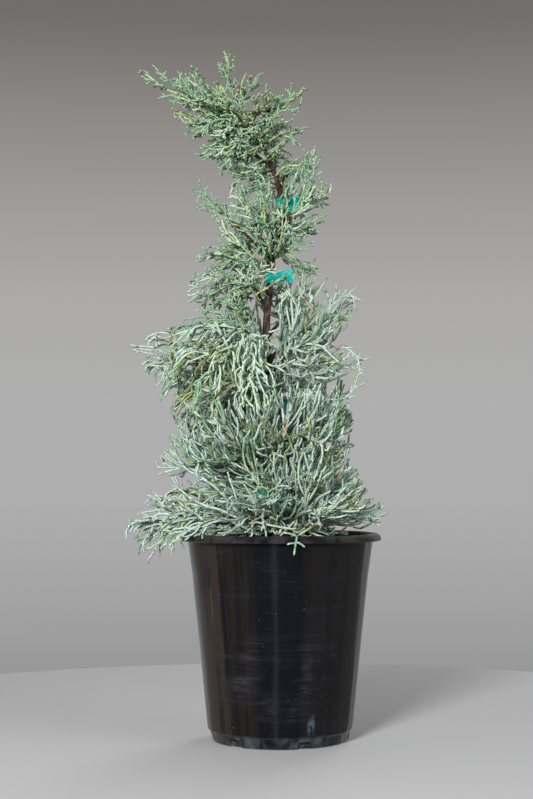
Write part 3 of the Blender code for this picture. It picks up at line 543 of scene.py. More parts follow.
# The share of each tier's shoots that are yellowish.
YOUNG_STEMS = {
    "leader": 0.7,
    "crown": 0.4,
    "crown_arm": 0.5,
    "upper": 0.15,
    "upper_arm": 0.3,
    "cascade": 0.35,
}
OTHER_YOUNG_STEMS = 0.1
OLD_AND_SHADED_SHARE = 0.28  # the share of cords near the trunk that are olive: older cords, and painted shade deep in the foliage
OLD_AND_SHADED_DEPTH = 0.45  # of a mass's reach, within which cords may be olive, as painted shade in the foliage's depth
LEAST_CORDS = 3  # a shoot that bears fewer isn't grown
STEM_LEAFY = 0.35  # of a stem's length, past which it bears cords itself
SHOOT_POINTS = 10
CORD_PLACES = (0.0, 0.22, 0.45, 0.68, 0.92, 0.98, 1.0)  # of its rings and tip, along a cord
CORDLET_PLACES = (0.0, 0.42, 0.80, 0.95, 1.0)
SHOOT_SIDES = 5
CORD_SIDES = 5
CORDLET_SIDES = 4
SHOOT_THICK = 1.10  # a shoot's radius at its root, in its cords' radii
CORDLET_THICK = 0.88
KNOBS = 0.08  # how far a cord's scale leaves stand out, as a share of its radius
CORD_BEND = 0.75  # how far a cord turns from its first way to its last
OWN_BEND = {"middle": 0.95, "lower": 1.0, "skirt": 0.9, "thicket": 1.0, "cascade": 1.5}
CORD_WANDER = 0.36  # how far the last way of each cord strays
CORD_SPACING = (0.1, 0.9)  # where in its own stretch of a line a cord stands
CORDS_END = 0.98  # the share of a line past which it bears none
CORD_LEANS = (0.75, 1.3)  # shares of the style's angle
CORD_LENGTHS = (0.65, 1.2)  # shares of the style's length
CORD_GIRTHS = (0.88, 1.12)  # shares of the style's radius
CORD_TAPER, CORDLET_TAPER, SHOOT_TAPER = 0.85, 0.92, 0.75
LAST_RING = 0.8  # of a cord, whose tip is rounded
CUT_BACKS = (0.75, 0.5, 0.3)
STEM_WOBBLE = 0.0016
STEM_WAVES = (19.0, 23.0, 17.0)  # radians along the stem, each way
STEM_PHASES = (1.0, 2.3, 0.7)
STEM_EASE = 5  # the wobble is full past a fifth of the way
SHOOT_WAVE = 0.0021
SHOOT_WAVES = (4.0, 9.0)  # radians along a shoot
SHOOT_EASE = 4
SHOOT_ROOM = 0.0005
SPRAY_TILT = 0.45  # how far the plane of a spray strays from upright
CORE_BOW = 0.5  # of a side shoot's bow
THICKET_BOW = 0.8
INNER_FIRST = 40  # the number of a mass's first inner shoot
CORD_PROFILE = ((0.0, 0.25, 0.6, 1.0), (0.60, 1.0, 0.85, 0.34))  # length at shares of the shoot
CORDLET_PROFILE = ((0.0, 0.3, 0.7, 1.0), (0.75, 1.0, 0.80, 0.50))
STRAY_COLOUR = 0.25  # the share of cords that take another colour than their spray's


def unit(vectors):
    return vectors / np.maximum(np.linalg.norm(vectors, axis=-1, keepdims=True), 1e-9)


def along_lines(lines, which, shares):
    """Points at shares of the chosen lines, and the way that each line runs there."""
    place = shares * (lines.shape[1] - 1)
    first = np.minimum(place.astype(int), lines.shape[1] - 2)
    start, end = lines[which, first], lines[which, first + 1]
    return start + (end - start) * (place - first)[:, None], unit(end - start)


def stem_line(mass, shares):
    """The mass's stem at these shares of its reach, swaying a little as it goes."""
    phases = np.array(STEM_PHASES) * (mass.sector + len(mass.label))
    eased = np.clip((shares - mass.start) * STEM_EASE, 0.0, 1.0)[:, None]
    wobble = STEM_WOBBLE * eased * np.sin(shares[:, None] * STEM_WAVES + phases)
    return mass.stem_points(shares) + wobble


def fitted_line(space, root, wanted, bow, foot):
    """A bowed line to the wanted place, cut short until the space holds it past its foot, or None."""
    s = np.linspace(0.0, 1.0, SHOOT_POINTS)[:, None]
    for shrink in SHRINKS:
        tip = root + (wanted - root) * shrink
        line = root + (tip - root) * s - UP * (bow * float(np.linalg.norm(tip - root))) * 4 * s * (1 - s)
        if space.holds(line[foot:], SHOOT_ROOM).all():
            return line
    return None


def shoot_line(mass, index, inner=False):
    """Side shoot number index as a curve from the stem to the crown's outline, or None where none fits."""
    draw = random.Random(f"{mass.name} shoot {index}")
    number = index + 1 + mass.sector
    low, high = INNER_RISE if inner and mass.label in MINGLE else SHOOT_RISE
    stray_up, stray_aside = (draw.uniform(-stray, stray) for stray in SHOOT_STRAYS)
    rise = low + (high - low) * (spread(number, 2) + stray_up)
    off = 2 * spread(number, 3) - 1
    if inner:
        off = INNER_OFF[mass.label] * math.copysign(abs(off) ** INNER_OFF_POWER, off)
    else:
        off = SHOOT_OFF * off + stray_aside
    outs = INNER_OUT if inner else SHOOT_OUT
    wanted = mass.point_in_space(off * 0.5 / SECTORS, rise, outs[index % len(outs)])
    first, last = mass.stem_points(mass.start), mass.stem_points(mass.end)
    along = last - first
    nearest = float((wanted - first) @ along / (along @ along))
    clamped = min(max(nearest, 0.0), 1.0)
    nearest = mass.start + (mass.end - mass.start) * nearest
    closest = mass.stem_points(mass.start + (mass.end - mass.start) * clamped)
    share = nearest - SHOOT_SLOPE * float(np.linalg.norm(wanted - closest)) / mass.reach
    share = min(max(share, mass.start + SHOOT_START), mass.end - SHOOT_START)
    return fitted_line(mass, mass.stem_points(share), wanted, mass.lift * SHOOT_BOW, foot=2)


def core_line(mass, index):
    """Shoot number index from the trunk itself, up and out through the mass, or None where none fits."""
    number = index + 1 + 2 * mass.sector
    off = CORE_OFF * (2 * spread(number, 3) - 1) * 0.5 / SECTORS
    low, high = (float(side) for side in mass.heights(mass.tier + mass.turn + off))
    share = CORE_ROOTS[0] + (CORE_ROOTS[1] - CORE_ROOTS[0]) * spread(number, 2)
    rise = min(share + CORE_LIFT, CORE_HIGHEST)
    wanted = mass.point_in_space(off, rise, CORE_OUT[index % len(CORE_OUT)])
    height = min(max(low + share * (high - low), SOIL_TOP + LOWEST_ROOT), TRUNK_TOP - HIGHEST_ROOT)
    root = trunk_axis(off_ties(height, float(wanted[2])))
    return fitted_line(mass, root, wanted, SHOOT_BOW * CORE_BOW, foot=3)


def side_growth(mass, lines, flats, size, profile, places, draw):
    """Side growth, alternately to either side of each line, cut back where it would leave the space.

    Returns the new lines, the flat side of each one's own spray, and the number of the line it grows from.
    """
    gap, length, angle, first = size
    style = STYLES[mass.label]
    lengths = np.linalg.norm(np.diff(lines, axis=1), axis=-1).sum(1)
    counts = np.maximum(np.round(lengths * (1 - first) / gap), 1).astype(int)
    which = np.repeat(np.arange(len(lines)), counts)
    order = np.concatenate([np.arange(count) for count in counts])
    shares = first + (CORDS_END - first) * (order + draw.uniform(*CORD_SPACING, len(order))) / counts[which]
    base, ahead = along_lines(lines, which, shares)
    flat = flats[which]
    side = unit(flat - ahead * (flat * ahead).sum(-1, keepdims=True))
    tilt = draw.normal(0.0, style.scatter, len(order))[:, None]
    turned = side * np.cos(tilt) + np.cross(ahead, side) * np.sin(tilt)
    turned *= np.where(order % 2, 1.0, -1.0)[:, None]
    lean = np.radians(angle) * draw.uniform(*CORD_LEANS, len(order))[:, None]
    way = ahead * np.cos(lean) + turned * np.sin(lean)
    rise = OWN_RISE.get(mass.name, style.rise)
    sway = draw.normal(0.0, SHOOT_SWAY, lines[:, 0].shape)[which]
    last_way = unit(ahead + UP * rise + sway + draw.normal(0.0, CORD_WANDER, way.shape))
    reach = length * np.interp(shares, *profile) * draw.uniform(*CORD_LENGTHS, len(order))
    s = np.array(places)[None, :, None]
    bend = OWN_BEND.get(mass.label, CORD_BEND)
    shape = way[:, None] * (s - bend * s * s / 2) + last_way[:, None] * (bend * s * s / 2)
    grown = base[:, None] + shape * reach[:, None, None]
    for shrink in CUT_BACKS:
        outside = ~mass.holds(grown[:, 1:], SPACE_MARGIN).all(axis=1)
        grown[outside] = base[outside, None] + shape[outside] * (reach[outside] * shrink)[:, None, None]
    kept = mass.holds(grown[:, 1:], SPACE_MARGIN / 2).all(axis=1)
    return grown[kept], unit(ahead - way * (ahead * way).sum(-1, keepdims=True))[kept], which[kept]


class Bundle:
    """Many closed tubes gathered as arrays, to be made one mesh."""

    def __init__(self):
        self.vertices, self.faces, self.finishes = [], [], []
        self.count = 0

    def tubes(self, lines, radii, sides, finishes, tips=None):
        """Adds a tube along each line. A line's last point is the tube's tip, past the last ring."""
        number, rings = lines.shape[0], lines.shape[1] - 1
        if number == 0:
            return
        ahead = unit(np.gradient(lines, axis=1)[:, :-1])
        least = np.abs(ahead.mean(axis=1)).argmin(axis=-1)
        side = unit(np.cross(ahead, np.eye(3)[least][:, None]))
        other = np.cross(ahead, side)
        angles = TAU * np.arange(sides) / sides
        across = np.stack([side, other])[:, :, :, None]
        ring = across[0] * np.cos(angles)[:, None] + across[1] * np.sin(angles)[:, None]
        corners = lines[:, :-1, None] + ring * radii[:, :, None, None]
        block = np.concatenate([corners.reshape(number, -1, 3), lines[:, -1:]], axis=1)
        i = np.arange(rings - 1)[:, None] * sides
        j, k = np.arange(sides), (np.arange(sides) + 1) % sides
        walls = np.stack([i + j, i + k, i + sides + k, i + sides + j], -1).reshape(-1, 4)
        walls = walls[:, [0, 1, 2, 0, 2, 3]].reshape(-1, 3)
        top = (rings - 1) * sides
        cone = np.stack([top + j, top + k, np.full(sides, rings * sides)], -1)
        cap = np.array([(0, n + 1, n) for n in range(1, sides - 1)])
        faces = np.concatenate([cap, walls, cone])
        own = np.repeat(finishes[:, None], len(faces), axis=1)
        if tips is not None:
            last_walls = 2 * sides
            own[:, -(last_walls + len(cone)) :] = tips[:, None]
        first = self.count + np.arange(number)[:, None, None] * block.shape[1]
        self.vertices.append(block.reshape(-1, 3))
        self.faces.append((faces[None] + first).reshape(-1, 3))
        self.finishes.append(own.ravel())
        self.count += block.shape[0] * block.shape[1]

    def piece(self, name, materials, smooth=True):
        """One mesh object of all that was gathered."""
        vertices, faces = np.concatenate(self.vertices), np.concatenate(self.faces)
        mesh = bpy.data.meshes.new(name)
        mesh.vertices.add(len(vertices))
        mesh.vertices.foreach_set("co", vertices.astype(np.float32).ravel())
        mesh.loops.add(faces.size)
        mesh.loops.foreach_set("vertex_index", faces.astype(np.int32).ravel())
        mesh.polygons.add(len(faces))
        mesh.polygons.foreach_set("loop_start", np.arange(0, faces.size, 3, dtype=np.int32))
        mesh.polygons.foreach_set("material_index", np.concatenate(self.finishes).astype(np.int32))
        mesh.polygons.foreach_set("use_smooth", np.full(len(faces), smooth))
        mesh.update(calc_edges=True)
        mesh.validate()
        for finish in materials:
            mesh.materials.append(finish)
        made = bpy.data.objects.new(name, mesh)
        bpy.context.scene.collection.objects.link(made)
        return made


def cord_radii(number, points, thick, taper, draw):
    """A radius for each ring of a cord: it tapers, scale leaves make it knobbly, and its tip is rounded."""
    rings = np.linspace(1.0, taper, points - 1)
    rings = rings * (1.0 + KNOBS * np.where(np.arange(points - 1) % 2, 1.0, -1.0))
    rings[-1] *= LAST_RING
    return thick * rings[None] * draw.uniform(*CORD_GIRTHS, (number, 1))


def shoots_of(mass, fullness):
    """The shoots of one mass: out to the outline, inside it, from the trunk, and its stem's leafy end."""
    style = STYLES[mass.label]
    fullness = fullness * OWN_SHARE.get(mass.name, 1.0)
    found = [shoot_line(mass, index) for index in range(round(style.shoots * fullness))]
    inner = range(INNER_FIRST, INNER_FIRST + round(style.inner * fullness))
    found += [shoot_line(mass, index, inner=True) for index in inner]
    found += [core_line(mass, index) for index in range(round(style.core * fullness))]
    leafy = np.linspace(mass.start + STEM_LEAFY * (mass.end - mass.start), mass.end, SHOOT_POINTS)
    return np.array([line for line in found if line is not None] + [stem_line(mass, leafy)])


def grow(mass, shoots, bundle):
    """Clothes the shoots of one mass with cords and cordlets."""
    style = STYLES[mass.label]
    draw = np.random.default_rng([mass.sector, *map(ord, mass.name)])
    s = np.linspace(0.0, 1.0, SHOOT_POINTS)[None, :, None]
    each = (len(shoots), 1, 3)
    turns = draw.uniform(*SHOOT_WAVES, each) * s + draw.uniform(0.0, TAU, each)
    shoots = shoots + SHOOT_WAVE * np.minimum(SHOOT_EASE * s, 1.0) * np.sin(turns)
    upright = UP + draw.normal(0.0, SPRAY_TILT, (len(shoots), 3))
    flats = unit(np.cross(shoots[:, -1] - shoots[:, 0], upright))
    spray_colours = draw.choice(len(FOLIAGE_COLOURS), len(shoots), p=style.weights)
    cords, cord_flats, parents = side_growth(
        mass, shoots, flats, style.cords, CORD_PROFILE, CORD_PLACES, draw
    )
    borne = np.bincount(parents, minlength=len(shoots)) >= LEAST_CORDS
    cords, cord_flats, parents = (kept[borne[parents]] for kept in (cords, cord_flats, parents))
    other = draw.choice(len(FOLIAGE_COLOURS), len(cords), p=style.weights)
    cord_colours = np.where(draw.random(len(cords)) < STRAY_COLOUR, other, spray_colours[parents])
    depth = np.linalg.norm((cords[:, -1] - trunk_axis(cords[:, -1, 2])) * (1.0, 1.0, 0.0), axis=-1)
    # Cords deep in a mass, near the trunk, may turn olive: older cords, and painted shade in the foliage's
    # depth.
    old_and_shaded = (depth < OLD_AND_SHADED_DEPTH * mass.reach) & (draw.random(len(cords)) < OLD_AND_SHADED_SHARE)
    cord_colours = np.where(old_and_shaded, OLIVE, cord_colours)
    cordlets, _, from_cord = side_growth(
        mass, cords, cord_flats, style.cordlets, CORDLET_PROFILE, CORDLET_PLACES, draw
    )
    straw = draw.random(len(shoots)) < YOUNG_STEMS.get(mass.label, OTHER_YOUNG_STEMS)
    shoot_colours = np.where(straw, STRAW, spray_colours)
    levels = (
        (shoots[borne], SHOOT_SIDES, SHOOT_THICK, SHOOT_TAPER, shoot_colours[borne]),
        (cords, CORD_SIDES, 1.0, CORD_TAPER, cord_colours),
        (cordlets, CORDLET_SIDES, CORDLET_THICK, CORDLET_TAPER, cord_colours[from_cord]),
    )
    for lines, sides, share, taper, colours in levels:
        radii = cord_radii(len(lines), lines.shape[1], style.thick * share, taper, draw)
        new_tips = draw.random(len(lines)) < style.tipped
        tips = np.where(new_tips, TIP, colours)
        bundle.tubes(lines, radii, sides, colours, tips)


# Long arms that reach past the rest, and the places that each runs through, in millimetres.
ARMS = {
    "crown_arm": (
        ((-42, -6, 690), (-80, -16, 703), (-112, -22, 722), (-136, -24, 740)),
        ((-80, -16, 703), (-100, -20, 706), (-122, -22, 708)),
        ((-46, -6, 696), (-72, -12, 714), (-88, -14, 730), (-96, -14, 744)),
        ((-39, -6, 687), (-70, -22, 684), (-95, -28, 680), (-120, -30, 685)),
        ((-32, -6, 680), (-58, -26, 683), (-78, -32, 676), (-91, -34, 667)),
        ((-31, -4, 682), (-16, -12, 690), (6, -16, 702), (32, -18, 722)),
        ((-10, -14, 693), (4, -12, 706), (14, -12, 724)),
        ((-23, -2, 668), (-10, -16, 671), (0, -20, 676), (9, -22, 686)),
        ((-14, -2, 652), (0, -12, 656), (14, -16, 668), (20, -18, 679)),
        ((-48, -6, 698), (-38, -12, 712), (-30, -14, 724), (-28, -14, 734)),
        ((-24, -3, 668), (-44, -28, 662), (-64, -34, 650), (-80, -34, 638)),
        ((-20, -2, 660), (-30, -26, 664), (-42, -36, 656), (-60, -40, 642)),
        ((-26, -3, 672), (-22, -26, 676), (-26, -38, 672), (-36, -44, 664)),
        ((-30, -4, 678), (-46, -30, 688), (-62, -40, 692), (-76, -44, 700)),
        ((-24, -3, 664), (-20, -24, 668), (-12, -34, 672), (-4, -40, 678)),
        ((-20, -3, 656), (-26, -22, 654), (-32, -34, 650), (-40, -40, 644)),
        ((-28, -3, 672), (-34, -24, 680), (-40, -34, 690), (-44, -40, 702)),
        ((-16, -2, 650), (-12, -20, 648), (-4, -30, 650), (6, -36, 656)),
        ((-13, -2, 645), (-18, -18, 640), (-28, -28, 634), (-40, -34, 628)),
        ((-34, -4, 682), (-46, -22, 680), (-58, -32, 674), (-68, -36, 664)),
        ((-26, -3, 670), (-46, -20, 668), (-64, -26, 660), (-82, -28, 652)),
        ((-22, -3, 664), (-36, -18, 656), (-50, -26, 646), (-66, -28, 634)),
        ((-36, -4, 684), (-56, -18, 678), (-76, -22, 672), (-94, -24, 664)),
        ((-18, -2, 656), (-8, -18, 662), (4, -26, 664), (20, -28, 660)),
        ((-40, -5, 688), (-60, -10, 694), (-84, -12, 696), (-106, -12, 700)),
        ((-50, -5, 712), (-56, -5, 735), (-59, -4, 748), (-61, -4, 762)),
    ),
    "upper_arm": (
        ((-12, -2, 508), (-43, -16, 542), (-65, -24, 575), (-90, -28, 610)),
        ((-8, -2, 566), (-26, -16, 574), (-40, -22, 588), (-53, -24, 606)),
        ((-11, -2, 515), (-34, -22, 502), (-66, -30, 512), (-102, -34, 503)),
        ((-12, -2, 520), (-46, -28, 506), (-74, -36, 492), (-101, -38, 480)),
        ((-10, -2, 524), (-34, -34, 528), (-58, -42, 532), (-79, -44, 533)),
        ((-4, -1, 594), (10, -14, 612), (30, -20, 630), (42, -22, 649)),
        ((-5, -1, 562), (16, -18, 580), (36, -24, 594), (54, -26, 606)),
        ((-8, -1, 540), (8, -24, 556), (26, -32, 568), (46, -36, 576)),
        ((-7, -1, 550), (10, -14, 538), (26, -20, 528), (41, -22, 519)),
        ((-10, -2, 530), (-14, -30, 548), (-18, -40, 566), (-20, -44, 586)),
        ((-9, -2, 535), (0, -32, 552), (4, -40, 572), (2, -44, 590)),
        ((-3, -1, 600), (-16, -24, 612), (-26, -30, 622), (-40, -34, 624)),
        ((-9, -2, 528), (-24, -28, 544), (-32, -36, 560), (-34, -40, 580)),
        ((-8, -2, 534), (-2, -26, 540), (6, -34, 552), (14, -38, 568)),
        ((-6, -2, 556), (-14, -22, 572), (-20, -30, 588), (-22, -34, 606)),
        ((-5, -2, 566), (2, -20, 584), (8, -28, 600), (16, -32, 618)),
        ((-10, -2, 524), (-34, -24, 536), (-52, -30, 552), (-66, -32, 572)),
        ((-12, -2, 500), (-30, -30, 502), (-44, -40, 496), (-52, -44, 484)),
        ((-6, -1, 626), (6, -16, 632), (20, -22, 636), (34, -24, 632)),
        ((-8, -1, 634), (-24, -20, 630), (-40, -28, 620), (-52, -30, 606)),
        ((-32, -14, 440), (-46, -28, 454), (-60, -34, 466), (-80, -36, 474)),
        ((-28, -16, 444), (-38, -34, 458), (-46, -42, 472), (-58, -44, 486)),
        ((-20, -16, 478), (-26, -38, 490), (-10, -48, 498), (8, -50, 511)),
        ((-13, -4, 490), (-30, -36, 504), (-22, -46, 512), (-8, -50, 520)),
        ((-26, -12, 446), (-40, -22, 462), (-56, -26, 474), (-72, -26, 484)),
        ((-22, -12, 452), (-34, -28, 470), (-46, -34, 482), (-54, -36, 496)),
        ((-34, -16, 438), (-52, -26, 448), (-70, -30, 456), (-90, -30, 458)),
        ((-24, -14, 440), (-36, -36, 448), (-50, -44, 454), (-66, -48, 454)),
    ),
    "skirt_arm": (
        ((-4, -20, 250), (-12, -50, 262), (-20, -66, 276), (-28, -74, 292)),
        ((6, -20, 248), (-4, -54, 258), (-10, -72, 268), (-12, -80, 284)),
        ((-60, -30, 247), (-100, -40, 243), (-125, -42, 232), (-137, -42, 205)),
        ((-60, -30, 250), (-105, -40, 252), (-140, -44, 247), (-164, -44, 238)),
        ((-60, -30, 248), (-110, -44, 247), (-138, -48, 235), (-150, -48, 215)),
        ((-56, -36, 246), (-95, -52, 244), (-115, -56, 234), (-123, -56, 215)),
        ((-50, -40, 246), (-82, -64, 243), (-100, -70, 236), (-112, -72, 223)),
    ),
    "cascade": (
        ((-26, -30, 449), (-60, -50, 453), (-96, -54, 451), (-138, -50, 440)),
        ((-28, -34, 445), (-52, -62, 445), (-78, -70, 435), (-106, -70, 415)),
        ((-24, -30, 441), (-40, -66, 437), (-58, -82, 423), (-78, -86, 399)),
        ((-30, -26, 451), (-66, -30, 463), (-94, -32, 461), (-122, -34, 445)),
        ((-20, -30, 445), (-26, -70, 439), (-34, -88, 421), (-44, -94, 397)),
        ((-24, -30, 436), (-50, -70, 424), (-72, -84, 402), (-90, -86, 374)),
        ((-14, -30, 432), (-22, -74, 420), (-30, -92, 396), (-38, -96, 368)),
        ((-30, -28, 436), (-70, -46, 432), (-100, -52, 412), (-124, -52, 388)),
    ),
}
BACK_ARMS = ("crown_arm", "upper_arm", "cascade")
BACK_FROM = 0.012
BACK_SCALE = (0.80, -1.15, 1.0)


class Arms:
    """The long arms of a tier, which may reach past its masses but not past the solids."""

    def __init__(self, label):
        self.label, self.name, self.sector, self.reach = label, f"{label}_arms", 0, LEADER_REACH
        runs = [np.array(points) * MILLIMETRE for points in ARMS[label]]
        if label in BACK_ARMS:
            runs += [self.behind(run) for run in runs if run[-1, 1] < -BACK_FROM]
        self.lines = np.array([smooth_run(run, SHOOT_POINTS) for run in runs])

    @staticmethod
    def behind(run):
        """A shorter arm behind the trunk to match one before it."""
        away = run - trunk_axis(run[:, 2])
        return trunk_axis(run[:, 2]) + away * BACK_SCALE

    def holds(self, points, pad=0.0):
        low, high = np.array(CAD_LOW) + pad, np.array(CAD_HIGH) - pad
        return ((points > low) & (points < high)).all(axis=-1) & kept_clear(points)


# Low down the ramp's turns have grown together: these shoots rise from the trunk through them all.
THICKET = 34
THICKET_ROOTS = (0.238, 0.385)
THICKET_RISE = (0.035, 0.085)
THICKET_OUT = (0.55, 0.92)
THICKET_TOP = 0.435
THICKET_REACH = 0.10
GOLDEN_TURN = 0.381966


class Thicket:
    """The shoots that rise through the lower turns of the ramp, and the space that they grow in."""

    def __init__(self, first, last):
        self.label, self.name, self.sector = "thicket", f"thicket_{first}", 0
        self.reach = THICKET_REACH
        self.lines = np.array([line for line in map(self.line, range(first, last)) if line is not None])

    def line(self, index):
        turn = index * GOLDEN_TURN
        ranges = ((2, THICKET_ROOTS), (3, THICKET_RISE), (5, THICKET_OUT))
        start, rise, out = (low + (high - low) * spread(index + 1, base) for base, (low, high) in ranges)
        root = trunk_axis(off_ties(start, start + rise))
        height = root[2] + rise
        wanted = trunk_axis(height) + out_at(turn) * float(outline(height, turn)) * out
        return fitted_line(self, root, wanted, SHOOT_BOW * THICKET_BOW, foot=3)

    def holds(self, points, pad=0.0):
        height, reach, turns = round_trunk(points)
        held = height > pot_floor(np.hypot(points[..., 0], points[..., 1])) + pad
        held &= (height < THICKET_TOP) & (reach + pad < outline(height, turns))
        return held & (reach > trunk_radius(height) * TRUNK_ROOM + pad) & kept_clear(points)


# ---------------- selecting, naming and placing pieces
def act_on(*things):
    """Selects just these objects, the first of them active."""
    if bpy.context.mode != "OBJECT":
        bpy.ops.object.mode_set(mode="OBJECT")
    bpy.ops.object.select_all(action="DESELECT")
    for thing in things:
        thing.select_set(True)
    if things:
        bpy.context.view_layer.objects.active = things[0]


def settle(thing, name, materials, replaced=(), smooth=None):
    """Names a finished piece, gives it its materials, and hangs it on the frame."""
    act_on(thing)
    bpy.ops.object.transform_apply(location=True, rotation=True, scale=True)
    if smooth is not None:
        bpy.ops.object.shade_smooth_by_angle(angle=math.radians(smooth))
    thing.name = thing.data.name = name
    if materials:
        thing.data.materials.clear()
        for finish in materials:
            thing.data.materials.append(finish)
    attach(thing, BODY)
    if replaced:
        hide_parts(*replaced)


def apply_all(thing):
    act_on(thing)
    for name in [modifier.name for modifier in thing.modifiers]:
        bpy.ops.object.modifier_apply(modifier=name)


def edit_all(thing):
    """Enters edit mode with all of the object selected."""
    act_on(thing)
    bpy.ops.object.mode_set(mode="EDIT")
    bpy.ops.mesh.select_all(action="SELECT")


def outward():
    """Turns the faces of the mesh in edit mode outwards and leaves edit mode."""
    bpy.ops.mesh.select_all(action="SELECT")
    bpy.ops.mesh.remove_doubles(threshold=1e-6)
    bpy.ops.mesh.normals_make_consistent(inside=False)
    bpy.ops.object.mode_set(mode="OBJECT")


def lathe(profile, segments):
    """A closed round shape, extruded ring by ring along a profile from its underside to its last face."""
    radius, height = profile[0]
    act_on()
    bpy.ops.mesh.primitive_circle_add(
        vertices=segments, radius=radius, fill_type="NGON", location=(0, 0, height)
    )
    made = bpy.context.object
    edit_all(made)
    for wide, high in profile[1:]:
        bpy.ops.mesh.extrude_region_move(TRANSFORM_OT_translate={"value": (0, 0, high - height)})
        share = wide / radius
        bpy.ops.transform.resize(value=(share, share, 1.0), center_override=(0, 0, high))
        radius, height = wide, high
    outward()
    return made


def move_vertices(thing, mover):
    """Moves the vertices to where the function puts them, from arrays of their places and normals."""
    mesh = thing.data
    points, normals = (np.empty(len(mesh.vertices) * 3, np.float32) for _ in range(2))
    mesh.vertices.foreach_get("co", points)
    mesh.vertex_normals.foreach_get("vector", normals)
    moved = mover(points.reshape(-1, 3).astype(float), normals.reshape(-1, 3).astype(float))
    mesh.vertices.foreach_set("co", moved.astype(np.float32).ravel())
    mesh.update()


def noise_at(points, scale=1.0, shift=0.0):
    """Noise from -1 to 1 at each point."""
    return np.array([noise.noise(point) for point in map(Vector, points * scale + shift)])


# ---------------- shader nodes
NOWHERE = (0.0, 0.0, 0.0)  # what a group's vector is until a material feeds it


def feed(tree, socket, value):
    """Links another node's output to a socket, or sets it to a plain value or colour."""
    if isinstance(value, bpy.types.NodeSocket):
        tree.links.new(value, socket)
    elif socket.type == "RGBA":
        socket.default_value = (*value, 1.0)[:4]
    else:
        socket.default_value = value


def node(tree, kind, inputs=None, **settings):
    """Adds a node. An input is a value or another node's output."""
    made = tree.nodes.new("ShaderNode" + kind)
    for name, value in settings.items():
        setattr(made, name, value)
    for name, value in (inputs or {}).items():
        feed(tree, made.inputs[name], value)
    return made


def maths(tree, operation, *values):
    return node(tree, "Math", dict(enumerate(values)), operation=operation).outputs[0]


def times(tree, first, second):
    return maths(tree, "MULTIPLY", first, second)


def times_plus(tree, first, second, third):
    return maths(tree, "MULTIPLY_ADD", first, second, third)


def group(name, output, kind, **inputs):
    """A new node group: its tree, what it reads, and the socket of its one output, of this kind.

    An input is a number, a colour of four parts, or else a vector.
    """
    tree = bpy.data.node_groups.new(name, "ShaderNodeTree")
    for label, value in inputs.items():
        parts = 1 if isinstance(value, float) else len(value)
        own = {1: "Float", 3: "Vector", 4: "Color"}[parts]
        socket = tree.interface.new_socket(label, in_out="INPUT", socket_type=f"NodeSocket{own}")
        socket.default_value = value
    tree.interface.new_socket(output, in_out="OUTPUT", socket_type=f"NodeSocket{kind}")
    return tree, tree.nodes.new("NodeGroupInput").outputs, tree.nodes.new("NodeGroupOutput").inputs[0]


def place_group(tree, name, **inputs):
    """A node of the group of this name, made when it is first asked for."""
    if name not in bpy.data.node_groups:
        GROUP_MAKERS[name](name)
    made = tree.nodes.new("ShaderNodeGroup")
    made.node_tree = bpy.data.node_groups[name]
    for label, value in inputs.items():
        feed(tree, made.inputs[label], value)
    return made.outputs[0]


def make_stretched(name):
    """Object coordinates, scaled along each axis, so that a pattern runs long one way."""
    tree, given, out = group(name, "Vector", "Vector", Scale=(1.0, 1.0, 1.0))
    coords = node(tree, "TexCoord").outputs["Object"]
    scaled = node(tree, "VectorMath", {0: coords, 1: given["Scale"]}, operation="MULTIPLY")
    tree.links.new(scaled.outputs[0], out)


def make_unrolled(name):
    """Coordinates of a round wall laid flat: how far round it from its front, and how high, both scaled."""
    tree, given, out = group(name, "Vector", "Vector", Radius=0.1, Scale=(1.0, 1.0, 1.0))
    coords = node(tree, "SeparateXYZ", {0: node(tree, "TexCoord").outputs["Object"]}).outputs
    angle = maths(tree, "ARCTAN2", coords[0], times(tree, coords[1], -1.0))
    flat = node(tree, "CombineXYZ", {0: times(tree, angle, given["Radius"]), 2: coords[2]})
    scaled = node(tree, "VectorMath", {0: flat.outputs[0], 1: given["Scale"]}, operation="MULTIPLY")
    tree.links.new(scaled.outputs[0], out)


def make_patches(name):
    """A mask of patches of noise, with the threshold and the softness of their edges."""
    tree, given, out = group(
        name, "Mask", "Float", Vector=NOWHERE, Scale=1.0, Detail=3.0, Threshold=0.5, Softness=0.1
    )
    wanted = {label: given[label] for label in ("Vector", "Scale", "Detail")}
    field = node(tree, "TexNoise", wanted).outputs[0]
    low = maths(tree, "SUBTRACT", given["Threshold"], given["Softness"])
    high = maths(tree, "ADD", given["Threshold"], given["Softness"])
    ranged = {"Value": field, "From Min": low, "From Max": high}
    mask = node(tree, "MapRange", ranged, interpolation_type="SMOOTHSTEP")
    tree.links.new(mask.outputs[0], out)


def make_specks(name):
    """A mask of round specks, of which only some are kept."""
    tree, given, out = group(name, "Mask", "Float", Vector=NOWHERE, Scale=1.0, Size=0.1, Kept=0.3)
    cells = node(tree, "TexVoronoi", {"Vector": given["Vector"], "Scale": given["Scale"]})
    near = maths(tree, "LESS_THAN", cells.outputs["Distance"], given["Size"])
    chance = node(tree, "SeparateColor", {0: cells.outputs["Color"]}).outputs[0]
    kept = maths(tree, "LESS_THAN", chance, given["Kept"])
    tree.links.new(times(tree, near, kept), out)


def make_band(name):
    """A mask that is 1 where a value lies between two others, with soft edges."""
    tree, given, out = group(name, "Mask", "Float", Value=0.0, Low=0.0, High=1.0, Softness=0.001)
    masks = []
    for edge, way in ((given["Low"], 1.0), (given["High"], -1.0)):
        past = times(tree, maths(tree, "SUBTRACT", given["Value"], edge), way)
        ranged = {"Value": past, "From Min": 0.0, "From Max": given["Softness"]}
        masks.append(node(tree, "MapRange", ranged, interpolation_type="SMOOTHSTEP").outputs[0])
    tree.links.new(times(tree, *masks), out)


